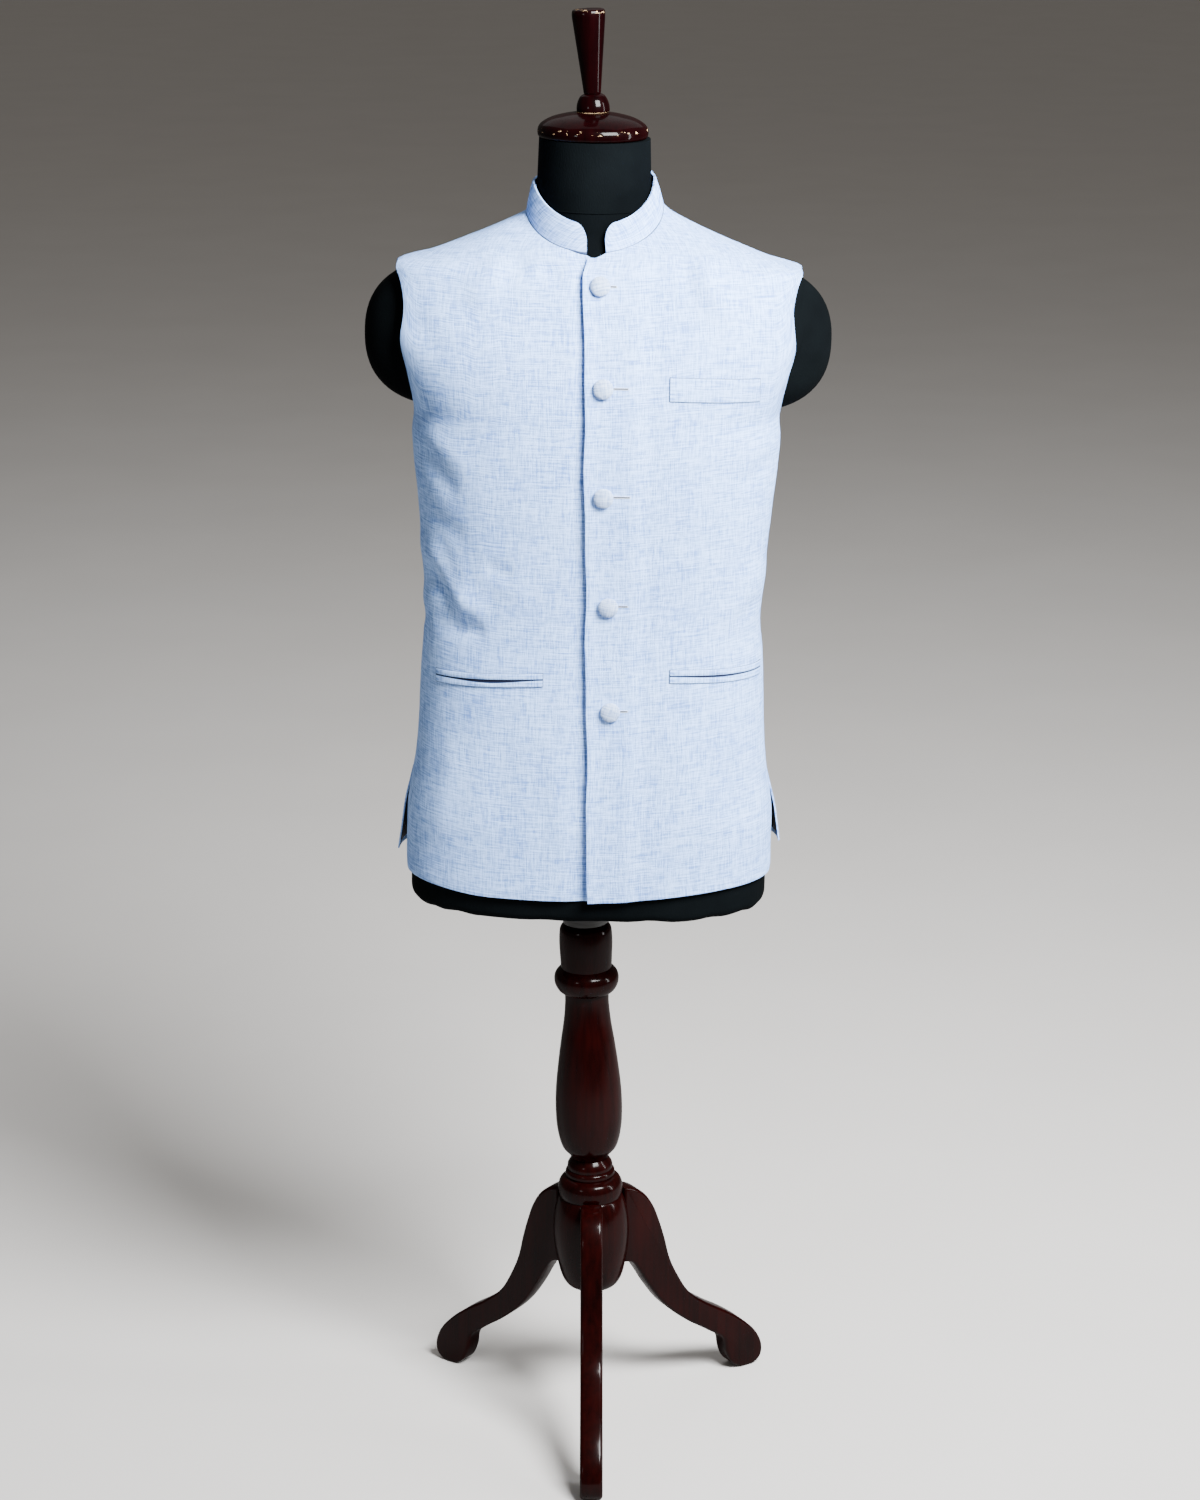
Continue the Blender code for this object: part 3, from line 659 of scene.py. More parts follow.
def rounded(outline: Outline, step: float) -> list[tuple[float, float]]:
    """A finer outline on a smooth curve through the points of a coarse one.

    Args:
        outline: The coarse points, with a point given twice where the curve has a corner.
        step: The largest distance between two fine points.

    Returns:
        The fine points.
    """
    points = [Vector(point) for point in outline]
    fine = [points[0]]
    for i in range(len(points) - 1):
        start, end = points[i], points[i + 1]
        span = (end - start).length
        if span < TINY:
            continue
        leave = _tangent(points[max(i - 1, 0)], start, end) * span
        arrive = _tangent(start, end, points[min(i + 2, len(points) - 1)]) * span
        count = max(math.ceil(span / step), 2)
        fine += [hermite(start, leave, end, arrive, k / count) for k in range(1, count + 1)]
    return [(point.x, point.y) for point in fine]


def _tangent(before: Vector, here: Vector, after: Vector) -> Vector:
    """The direction of a smooth curve at a point, from its neighbours."""
    first, second = (here - before), (after - here)
    if first.length < TINY:
        return second.normalized()
    if second.length < TINY:
        return first.normalized()
    return (first.normalized() + second.normalized()).normalized()


def turned(outline: Outline, steps: int = 72) -> Mesh:
    """A solid of revolution about Z.

    Args:
        outline: Radius and height of its points, from the bottom up.
        steps: The number of faces round it.

    Returns:
        The solid, with its faces outwards.
    """
    bm = bmesh.new()
    points = [(0.0, outline[0][1]), *outline, (0.0, outline[-1][1])]
    verts = [bm.verts.new((radius, 0.0, height)) for radius, height in points]
    edges = [bm.edges.new(pair) for pair in zip(verts, verts[1:])]
    bmesh.ops.spin(
        bm, geom=verts + edges, cent=(0, 0, 0), axis=(0, 0, 1), angle=math.tau, steps=steps, use_merge=True
    )
    seal(bm)
    return bm


def seal(bm: Mesh) -> None:
    """Merge a mesh's doubled points and turn its faces outwards."""
    bmesh.ops.remove_doubles(bm, verts=bm.verts, dist=TINY)
    bmesh.ops.recalc_face_normals(bm, faces=bm.faces)


class Side(Enum):
    """The wearer's side that a piece is on."""

    LEFT = 1
    RIGHT = -1


class Column(IntEnum):
    """What the torso's rings give after their height."""

    HALF_WIDTH = 1
    FRONT_DEPTH = 2
    BACK_DEPTH = 3


@dataclass(frozen=True)
class Crease:
    """A soft ridge, or a trough where its height is negative, between two places."""

    x0: float
    z0: float
    x1: float
    z1: float
    half_breadth: float
    height: float
    on_back: bool = False

    def raised(self, point: Vector) -> float:
        """How far the crease raises the cloth at a point."""
        if self.on_back != (point.y > 0):
            return 0.0
        start = Vector((self.x0, self.z0))
        line = Vector((self.x1, self.z1)) - start
        here = Vector((point.x, point.z)) - start
        t = min(max(here.dot(line) / line.length_squared, 0.0), 1.0)
        off = (here - line * t).length / self.half_breadth
        if off > 3.0:
            return 0.0
        from_side_seam = smooth(abs(point.y) / SEAM_FADE)
        return self.height * smooth(min(t, 1 - t) * 3.0) * math.exp(-off * off) * from_side_seam


SEAM_FADE = 0.012
# x and z of the start and of the end, half breadth, height, and whether it is on the back
CREASES = (
    Crease(0.098, 1.405, 0.150, 1.330, 0.016, 0.0035),
    Crease(-0.098, 1.405, -0.140, 1.345, 0.016, 0.0035),
    Crease(-0.190, 1.100, -0.132, 1.000, 0.018, 0.0045),
    Crease(-0.188, 1.038, -0.138, 0.988, 0.012, 0.0030),
    Crease(0.185, 1.075, 0.148, 0.990, 0.018, 0.0035),
    Crease(0.170, 1.090, 0.060, 0.985, 0.018, 0.0040, True),
    Crease(-0.170, 1.070, -0.070, 0.975, 0.018, 0.0040, True),
    Crease(0.150, 1.330, 0.120, 1.230, 0.020, 0.0035, True),
    Crease(-0.150, 1.325, -0.125, 1.225, 0.020, 0.0035, True),
    Crease(-0.184, 1.070, -0.144, 0.984, 0.0105, -0.0050),
    Crease(-0.164, 0.992, -0.114, 0.995, 0.0095, -0.0044),
    Crease(-0.190, 1.030, -0.164, 0.966, 0.0100, 0.0034),
    Crease(-0.158, 1.030, -0.112, 1.010, 0.012, 0.0032),
    Crease(-0.176, 1.110, -0.146, 1.030, 0.009, -0.0024),
    Crease(-0.192, 0.985, -0.170, 0.958, 0.010, 0.0014),
    Crease(-0.198, 1.200, -0.146, 1.138, 0.010, -0.0036),
    Crease(-0.190, 1.215, -0.128, 1.168, 0.012, 0.0022),
    Crease(-0.190, 1.125, -0.135, 1.090, 0.011, -0.0026),
    Crease(-0.124, 1.072, -0.085, 1.056, 0.010, -0.0024),
    Crease(-0.112, 1.048, -0.066, 1.040, 0.012, 0.0014),
    Crease(0.198, 1.195, 0.155, 1.150, 0.011, -0.0024),
    Crease(0.186, 1.030, 0.150, 1.000, 0.009, -0.0022),
    Crease(-0.072, 1.402, -0.112, 1.374, 0.010, -0.0026),
    Crease(-0.036, 1.382, -0.068, 1.392, 0.008, -0.0020),
    Crease(0.086, 1.415, 0.100, 1.355, 0.008, -0.0018),
    Crease(0.112, 1.410, 0.121, 1.345, 0.009, 0.0018),
    Crease(-0.205, 1.345, -0.165, 1.290, 0.014, -0.0018),
    Crease(0.205, 1.340, 0.172, 1.285, 0.014, -0.0018),
    Crease(0.150, 0.860, 0.172, 0.760, 0.014, -0.0020),
    Crease(-0.150, 0.880, -0.175, 0.740, 0.014, 0.0022),
    Crease(-0.085, 0.900, -0.110, 0.760, 0.018, -0.0014),
    Crease(0.095, 0.905, 0.105, 0.780, 0.018, 0.0014),
    Crease(-0.045, 0.890, -0.030, 0.740, 0.012, 0.0016),
    Crease(0.120, 1.180, 0.020, 1.060, 0.014, -0.0016, True),
    Crease(-0.130, 1.150, -0.030, 1.070, 0.013, -0.0014, True),
    Crease(0.060, 0.930, 0.070, 0.760, 0.016, 0.0018, True),
    Crease(-0.080, 0.940, -0.090, 0.750, 0.016, 0.0016, True),
    Crease(-0.060, 1.395, 0.060, 1.392, 0.010, -0.0014, True),
)


@dataclass
class Torso:
    """The closed jacket's outer face, from rings that are ovals with square shoulders."""

    corner: float = 2.5
    hem: float = 0.6900
    back_hem: float = 0.7070
    vent_top: float = 0.8140
    underarm: float = 1.2270
    tip: float = 1.3850
    neckline_x: float = -0.0060
    neckline_half: float = 0.0750
    neckline_front: float = 0.0720
    neckline_back: float = 0.0730
    widest: float = 0.2088
    arm_power: float = 2.5
    row_step: float = 0.0048
    arm_rows: int = 44
    neck_rows: int = 22
    # height and fineness of the cloth's faint unevenness
    ripples: Outline = ((0.0006, 17.0), (0.0003, 43.0))
    rings:tuple[tuple[float, float, float, float], ...] = (
        # height, half width, front depth, back depth
        (0.640, 0.2085, 0.1190, 0.1240),
        (0.690, 0.2088, 0.1225, 0.1270),
        (0.724, 0.2084, 0.1230, 0.1280),
        (0.768, 0.2078, 0.1228, 0.1280),
        (0.797, 0.2038, 0.1215, 0.1265),
        (0.825, 0.1996, 0.1200, 0.1240),
        (0.868, 0.1957, 0.1180, 0.1185),
        (0.911, 0.1937, 0.1165, 0.1135),
        (0.953, 0.1915, 0.1155, 0.1100),
        (0.995, 0.1875, 0.1155, 0.1085),
        (1.036, 0.1900, 0.1175, 0.1100),
        (1.092, 0.1942, 0.1215, 0.1140),
        (1.133, 0.1977, 0.1250, 0.1185),
        (1.173, 0.2018, 0.1270, 0.1220),
        (1.200, 0.2033, 0.1275, 0.1238),
        (1.227, 0.2015, 0.1270, 0.1250),
        (1.243, 0.2090, 0.1260, 0.1253),
        (1.270, 0.2240, 0.1230, 0.1252),
        (1.310, 0.2420, 0.1150, 0.1232),
        (1.350, 0.2385, 0.1035, 0.1180),
        (1.375, 0.2290, 0.0945, 0.1120),
        (1.385, 0.2200, 0.0895, 0.1085),
        (1.392, 0.1940, 0.0845, 0.1060),
        (1.405, 0.1590, 0.0735, 0.1015),
        (1.417, 0.1290, 0.0560, 0.0960),
        (1.430, 0.1000, 0.0370, 0.0895),
        (1.443, 0.0765, 0.0200, 0.0800),
        (1.461, 0.0590, 0.0080, 0.0640),
    )
    heights: list[float] = field(init=False)
    neck_table: list[float] = field(init=False)

    def __post_init__(self) -> None:
        """Keep the rings' heights and the neckline's height round the torso."""
        self.heights = [ring[0] for ring in self.rings]
        self.neck_table = [self._neck_height(math.radians(angle)) for angle in range(-180, 181)]

    def read(self, z: float, column: Column) -> float:
        """Read a column of the rings at a height, on a smooth curve."""
        z = min(max(z, self.heights[0]), self.heights[-1])
        i = min(max(bisect_right(self.heights, z) - 1, 0), len(self.rings) - 2)
        low, high = self.rings[i], self.rings[i + 1]
        span = high[0] - low[0]
        leave, arrive = self._slope(i, column) * span, self._slope(i + 1, column) * span
        return hermite(low[column], leave, high[column], arrive, (z - low[0]) / span)

    def _slope(self, i: int, column: Column) -> float:
        """The slope of a column at a ring."""
        low, high = self.rings[max(i - 1, 0)], self.rings[min(i + 1, len(self.rings) - 1)]
        return (high[column] - low[column]) / (high[0] - low[0])

    def half_width(self, z: float) -> float:
        """Half the torso's width at a height."""
        return self.read(z, Column.HALF_WIDTH)

    def depth(self, z: float, y: float) -> float:
        """The depth at a height, of the front where y is negative and else of the back."""
        return self.read(z, Column.FRONT_DEPTH if y < 0 else Column.BACK_DEPTH)

    def neckline_depth(self, angle: float) -> float:
        """The neckline's depth, at the front or the back."""
        return self.neckline_front if math.sin(angle) < 0 else self.neckline_back

    def point(self, angle: float, z: float) -> Vector:
        """A point of the plain face; -90 degrees is the middle front."""
        depth = self.depth(z, math.sin(angle))
        across = self.half_width(z) * signed_power(math.cos(angle), 2 / self.corner)
        return Vector((across, depth * signed_power(math.sin(angle), 2 / self.corner), z))

    def normal(self, angle: float, z: float) -> Vector:
        """The outward direction of the plain face."""
        step = 0.004
        along = self.point(angle + step, z) - self.point(angle - step, z)
        up = self.point(angle, z + step) - self.point(angle, z - step)
        return along.cross(up).normalized()

    def cloth(self, angle: float, z: float, out: float = 0.0) -> Vector:
        """A point of the creased cloth, moved out along its normal."""
        point = self.point(angle, z)
        out += sum(crease.raised(point) for crease in CREASES)
        out += sum(height * noise.noise(point * fineness) for height, fineness in self.ripples)
        return point + self.normal(angle, z) * out

    def angle_at_x(self, x: float, z: float) -> float:
        """The angle where the front has this x."""
        share = signed_power(x / self.half_width(z), self.corner / 2)
        return -math.acos(min(max(share, -1.0), 1.0))

    def angle_at_y(self, y: float, z: float) -> float:
        """The angle on the wearer's left where the face has this y."""
        return math.asin(signed_power(y / self.depth(z, y), self.corner / 2))

    def _neck_height(self, angle: float) -> float:
        """The height at which the face meets the neckline."""
        depth = self.neckline_depth(angle)

        def outside(z: float) -> bool:
            """Whether the face is outside the neckline at a height."""
            point = self.point(angle, z)
            return math.hypot((point.x - self.neckline_x) / self.neckline_half, point.y / depth) > 1

        return sum(narrowed(self.tip, self.heights[-1], outside)) / 2

    def neck_height(self, angle: float) -> float:
        """The neckline's height at an angle, from the table."""
        at = (math.degrees(angle) + 180.0) % 360.0
        low = int(at)
        return lerp(self.neck_table[low], self.neck_table[min(low + 1, 360)], at - low)

    def side_angle(self, z: float, deepest: float, spread: float) -> float:
        """The angle of a panel's side edge on the wearer's left, from seam, vent or armhole.

        Args:
            z: The height.
            deepest: The armhole's deepest reach from the side line, negative on the front.
            spread: How far the vent's edge stands back at the hem.

        Returns:
            The ring angle.
        """
        gap = 0.00015
        if z > self.underarm:
            middle = (self.tip + self.underarm) / 2
            share = abs(z - middle) / (self.tip - middle)
            power = self.arm_power
            reach = abs(deepest) * max(1.0 - share**power, 0.0) ** (1 / power) + gap
        else:
            reach = gap + spread * ramp(z, self.vent_top, self.hem)
        return self.angle_at_y(math.copysign(reach, deepest), z)

    def levels(self, hem: float) -> list[Level]:
        """The rows of a panel.

        Args:
            hem: The hem's height.

        Returns:
            For each row, whether it is above the shoulder's tip, then its height, or its share of
            the way from there up to the neck.
        """
        low = spaced(hem, self.underarm, self.row_step)[:-1]
        shares = [(1 - math.cos(math.pi * i / self.arm_rows)) / 2 for i in range(self.arm_rows + 1)]
        heights = low + [lerp(self.underarm, self.tip, share) for share in shares]
        above = [(True, i / self.neck_rows) for i in range(1, self.neck_rows + 1)]
        return [(False, z) for z in heights] + above

    def row_angles(self, level: Level, start: float, end: float, count: int) -> list[float]:
        """Angles that share a row out evenly along the cloth.

        Args:
            level: The row.
            start: The angle of its first column.
            end: The angle of its last column.
            count: The number of faces across.

        Returns:
            One angle for each column.
        """
        samples = 160
        angles = [lerp(start, end, i / samples) for i in range(samples + 1)]
        reach = lengths([self.point(a, self.height_of(level, a)) for a in angles])
        found = []
        for i in range(count + 1):
            want = reach[-1] * i / count
            k = min(max(bisect_right(reach, want) - 1, 0), samples - 1)
            share = (want - reach[k]) / max(reach[k + 1] - reach[k], 1e-9)
            found.append(lerp(angles[k], angles[k + 1], share))
        return found

    def height_of(self, level: Level, angle: float) -> float:
        """The height of a row at an angle."""
        above_tip, value = level
        return lerp(self.tip, self.neck_height(angle), value) if above_tip else value


@dataclass
class Fronts:
    """The two fronts, the left lapped over the right."""

    torso: Torso
    columns: int = 92
    thickness: float = 0.0017
    armhole: float = -0.0680
    hem_rise: float = 0.0105
    right_rise: float = 0.0055
    hem_corner: float = 0.0320
    corner_height: float = 0.0700
    spread: float = 0.0040
    edge_top_x: float = -0.0165
    edge_hem_x: float = -0.0010
    under_x: float = 0.0300
    lift: float = 0.0036
    curl: float = 0.0020
    neck_drop: float = 0.0042
    corner_drop: float = 0.0010
    flat_cut: tuple[float, float] = (0.33, 0.80)
    flat_area: float = 0.2000
    roll: float = 0.0006
    neck_lift: float = 0.0009
    curl_breadth: float = 0.010
    lap_fade: tuple[float, float] = (0.036, 0.062)
    neck_fade: tuple[float, float] = (1.365, 1.395)
    # how far the under front sinks everywhere, further at the hem, and further at the neck
    sinks: tuple[float, float, float] = (0.0014, 0.0020, 0.0006)
    sink_start_x: float = -0.034
    sink_start_z: float = 0.900

    def edge_x(self, z: float) -> float:
        """Where the top front's edge lies across the torso."""
        share = (z - self.torso.hem) / (self.torso.tip - self.torso.hem)
        wander = 0.0008 * math.sin(z * 31.0) + 0.0005 * math.sin(z * 67.0 + 1.0)
        return lerp(self.edge_hem_x, self.edge_top_x, share) + wander

    def lap_lift(self, x: float, z: float) -> float:
        """How far the top front stands off the plain face."""
        near_neck = ramp(z, self.torso.tip, self.torso.tip + 0.020)
        lift = lerp(self.lift, self.neck_lift, near_neck)
        past = x - self.edge_x(z)
        curl = self.curl * math.exp(-((past / self.curl_breadth) ** 2)) * (1.0 - near_neck)
        return (lift + curl) * (1.0 - ramp(x, *self.lap_fade))

    def under_drop(self, x: float, z: float) -> float:
        """How far the under front sinks beside and beneath the top one."""
        reach = ramp(x, self.sink_start_x, self.edge_x(z) - 0.002)
        low = ramp(z, self.sink_start_z, self.torso.hem)
        near_neck = ramp(z, self.torso.tip - 0.010, self.torso.tip + 0.016)
        everywhere, at_hem, at_neck = self.sinks
        return reach * (everywhere + at_hem * low + at_neck * near_neck)

    def hem_lift(self, plain: Vector, z: float, edge_y: float) -> float:
        """How far the hem's rise and its rounded corner lift the cloth.

        Args:
            plain: The point on the plain face.
            z: Its height.
            edge_y: The depth of the panel's side edge.

        Returns:
            The lift.
        """
        torso = self.torso
        rise = self.hem_rise * smooth(plain.x / torso.widest)
        rise += self.right_rise * ramp(plain.x, -0.110, -0.205)
        rise *= ramp(z, torso.vent_top, torso.hem)
        reach = min(max((abs(plain.y) - edge_y) / self.hem_corner, 0.0), 1.0)
        corner = self.hem_corner * (1.0 - math.sqrt(1.0 - (1.0 - reach) ** 2))
        return rise + corner * (1.0 - min((z - torso.hem) / self.corner_height, 1.0)) ** 2

    def build(self, side: Side, finish: Material, rests_on: str) -> Piece:
        """Build one front from hem to shoulder.

        Args:
            side: The wearer's side.
            finish: The cloth's material.
            rests_on: Not used.

        Returns:
            The front.
        """
        torso, left = self.torso, side is Side.LEFT
        levels = torso.levels(torso.hem)
        rows = []
        for level in levels:
            z = torso.tip if level[0] else level[1]
            start = torso.angle_at_x(self.edge_x(z) if left else self.under_x, z)
            end = torso.side_angle(z, self.armhole, self.spread)
            end = end if left else -math.pi - end
            angles = torso.row_angles(level, start, end, self.columns)
            edge_y = abs(torso.point(end, z).y)
            rows.append([self.front_point(level, angle, edge_y, left) for angle in angles])

        def place(column: int, row: int) -> Vector:
            """The point of a column and a row."""
            return rows[row][column if left else self.columns - column]

        name, wall = f"front_{side.name.lower()}", (self.thickness, self.roll)
        bm = cloth_sheet(self.columns, len(levels) - 1, place, 0 if left else self.columns)
        piece = add_piece(f"jacket_{name}", bm, finish, [name], "cloth", wall=wall)
        return piece

    def front_point(self, level: Level, angle: float, edge_y: float, left: bool) -> Vector:
        """A point of a front's outer face."""
        torso = self.torso
        z = torso.height_of(level, angle)
        plain = torso.point(angle, z)
        z += self.hem_lift(plain, z, edge_y)
        if not left:
            z -= self.neck_drop * ramp(plain.x, -0.0160, -0.0045) * ramp(z, *self.neck_fade)
            return torso.cloth(angle, z, -self.under_drop(plain.x, z))
        z -= self.neck_drop * ramp(plain.x, 0.0085, -0.0060) * ramp(z, *self.neck_fade)
        z -= self.corner_drop * ramp(plain.x, -0.0100, -0.0170) * ramp(z, *self.neck_fade)
        return torso.cloth(angle, z, self.lap_lift(plain.x, z))

    def face(self, x: float, z: float, out: float) -> Vector:
        """A point in front of the fronts by its x and z."""
        lift = self.lap_lift(x, z) if x > self.edge_x(z) else 0.0
        return self.torso.cloth(self.torso.angle_at_x(x, z), z, out + lift)


@dataclass
class Back:
    """The back, with a centre seam and a vent at each side, and its lining at the vents."""

    torso: Torso
    columns: int = 140
    thickness: float = 0.0017
    armhole: float = 0.0640
    spread: float = 0.0040
    flare: float = 0.0110
    flare_angle: float = math.radians(38)
    facing: float = 0.0012
    hem_rise: float = 0.0175
    flat_cut: tuple[float, float] = (0.56, 0.79)
    flat_area: float = 0.3400
    roll: float = 0.0006
    seam_sink: float = 0.0007
    seam_breadth: float = 0.0012
    lining_columns: int = 14
    lining_turn: float = math.radians(30)
    lining_wall: tuple[float, float] = (0.0006, 0.0002)

    def back_point(self, level: Level, angle: float, out: float = 0.0) -> Vector:
        """A point of the back's outer face."""
        torso = self.torso
        z = torso.height_of(level, angle)
        low = max(torso.vent_top - z, 0.0) / (torso.vent_top - torso.back_hem)
        plain = torso.point(angle, z)
        rise = ramp(z, torso.vent_top, torso.back_hem)
        z += self.hem_rise * smooth(plain.x / torso.widest) * rise
        near_side = 1.0 - smooth(min(angle, math.pi - angle) / self.flare_angle)
        seam = -self.seam_sink * math.exp(-((plain.x / self.seam_breadth) ** 2))
        return torso.cloth(angle, z, out + seam + self.flare * low**1.3 * near_side)

    def build(self, finish: Material, rests_on: str) -> Piece:
        """Build the back.

        Args:
            finish: The cloth's material.
            rests_on: Not used.

        Returns:
            The back.
        """
        torso = self.torso
        levels = torso.levels(torso.back_hem)
        rows = []
        for level in levels:
            z = torso.tip if level[0] else level[1]
            start = torso.side_angle(z, self.armhole, self.spread)
            angles = torso.row_angles(level, start, math.pi - start, self.columns)
            rows.append([self.back_point(level, angle) for angle in angles])
        middle, wall = self.columns // 2, (self.thickness, self.roll)
        bm = cloth_sheet(self.columns, len(levels) - 1, lambda column, row: rows[row][column], middle)
        piece = add_piece("jacket_back", bm, finish, ["back_left", "back_right"], "cloth", wall=wall)
        return piece

    def build_lining(self, side: Side, finish: Material) -> Piece:
        """Build the lining inside the back's skirt at one vent.

        Args:
            side: The wearer's side.
            finish: The lining's material.

        Returns:
            The lining.
        """
        torso, columns = self.torso, self.lining_columns
        heights = spaced(torso.back_hem + 0.007, torso.vent_top + 0.008, 0.006)

        def place(column: int, row: int) -> Vector:
            """The point of a column and a row."""
            z = heights[row]
            edge = torso.point(torso.side_angle(z, self.armhole, self.spread), z).y
            start = torso.angle_at_y(edge + self.facing, z)
            share = (column if side is Side.LEFT else columns - column) / columns
            angle = lerp(start, start + self.lining_turn, share)
            angle = angle if side is Side.LEFT else math.pi - angle
            return self.back_point((False, z), angle, -self.thickness - 0.0004)

        name = f"vent_lining_{side.name.lower()}"
        bm = cloth_sheet(columns, len(heights) - 1, place)
        piece = add_piece(f"jacket_{name}", bm, finish, [name], "lining", wall=self.lining_wall)
        return piece


@dataclass
class Collar:
    """The standing band, open at the front with rounded ends."""

    torso: Torso
    columns: int = 190
    rows: int = 12
    thickness: float = 0.0024
    neck_x: float = -0.0075
    top_half: float = 0.0664
    top_depth: float = 0.0655
    height_front: float = 0.0305
    height_side: float = 0.0320
    right_rise: float = 0.0036
    seam_lift: float = -0.0008
    open_right: float = 0.0080
    open_left: float = 0.0126
    end_round: float = 0.0150
    end_drop: float = 0.0180
    end_columns: int = 12
    end_power: float = 2.3
    flat_cut: tuple[float, float] = (0.46, 0.037)

    def seam_point(self, turn: float) -> Vector:
        """A point of the neckline by its plan angle round the neck."""
        torso = self.torso
        x = torso.neckline_x + torso.neckline_half * math.cos(turn)
        y = torso.neckline_depth(turn) * math.sin(turn)

        def inside(z: float) -> bool:
            """Whether the point is inside the torso's ring at a height."""
            across, along = abs(x / torso.half_width(z)), abs(y / torso.depth(z, y))
            return across**torso.corner + along**torso.corner < 1

        low, _ = narrowed(torso.tip, torso.heights[-1], inside)
        return Vector((x, y, low + self.seam_lift))

    def band_point(self, turn: float, share: float) -> Vector:
        """A point of the band's outer face, from its seam up."""
        seam = self.seam_point(turn)
        height = lerp(self.height_side, self.height_front, max(-math.sin(turn), 0.0))
        height += self.right_rise * max(-math.cos(turn), 0.0)
        x = self.neck_x + self.top_half * math.cos(turn)
        top = Vector((x, self.top_depth * math.sin(turn), seam.z + height))
        outward = Vector((math.cos(turn), math.sin(turn), 0.0))
        bow = 0.0006 * math.sin(math.pi * share) + 0.0003 * noise.noise(seam * 30.0)
        return seam.lerp(top, share) + outward * bow

    def build(self, finish: Material, rests_on: str) -> Piece:
        """Build the band.

        Args:
            finish: The cloth's material.
            rests_on: Not used.

        Returns:
            The collar.
        """
        half = self.torso.neckline_half
        start = -math.pi / 2 + math.asin(self.open_left / half)
        end = 1.5 * math.pi - math.asin(self.open_right / half)
        length = (end - start) * half
        shares = [i / self.end_columns for i in range(self.end_columns)]
        ends = [self.end_round * (1 - math.cos(math.pi / 2 * share)) for share in shares]
        inner = spaced(self.end_round, length - self.end_round, length / self.columns)
        reaches = ends + inner + [length - reach for reach in reversed(ends)]

        def place(column: int, row: int) -> Vector:
            """The point of a column and a row."""
            reach = reaches[column]
            inset = min(min(reach, length - reach) / self.end_round, 1.0)
            bend = 1.0 - math.sqrt(1.0 - (1.0 - inset) ** self.end_power)
            cut = bend * self.end_drop / self.height_front
            return self.band_point(start + reach / half, row / self.rows * (1.0 - cut))

        bm = cloth_sheet(len(reaches) - 1, self.rows, place)
        piece = add_piece("jacket_collar", bm, finish, ["collar"], "cloth", wall=(self.thickness, 0.0008))
        return piece


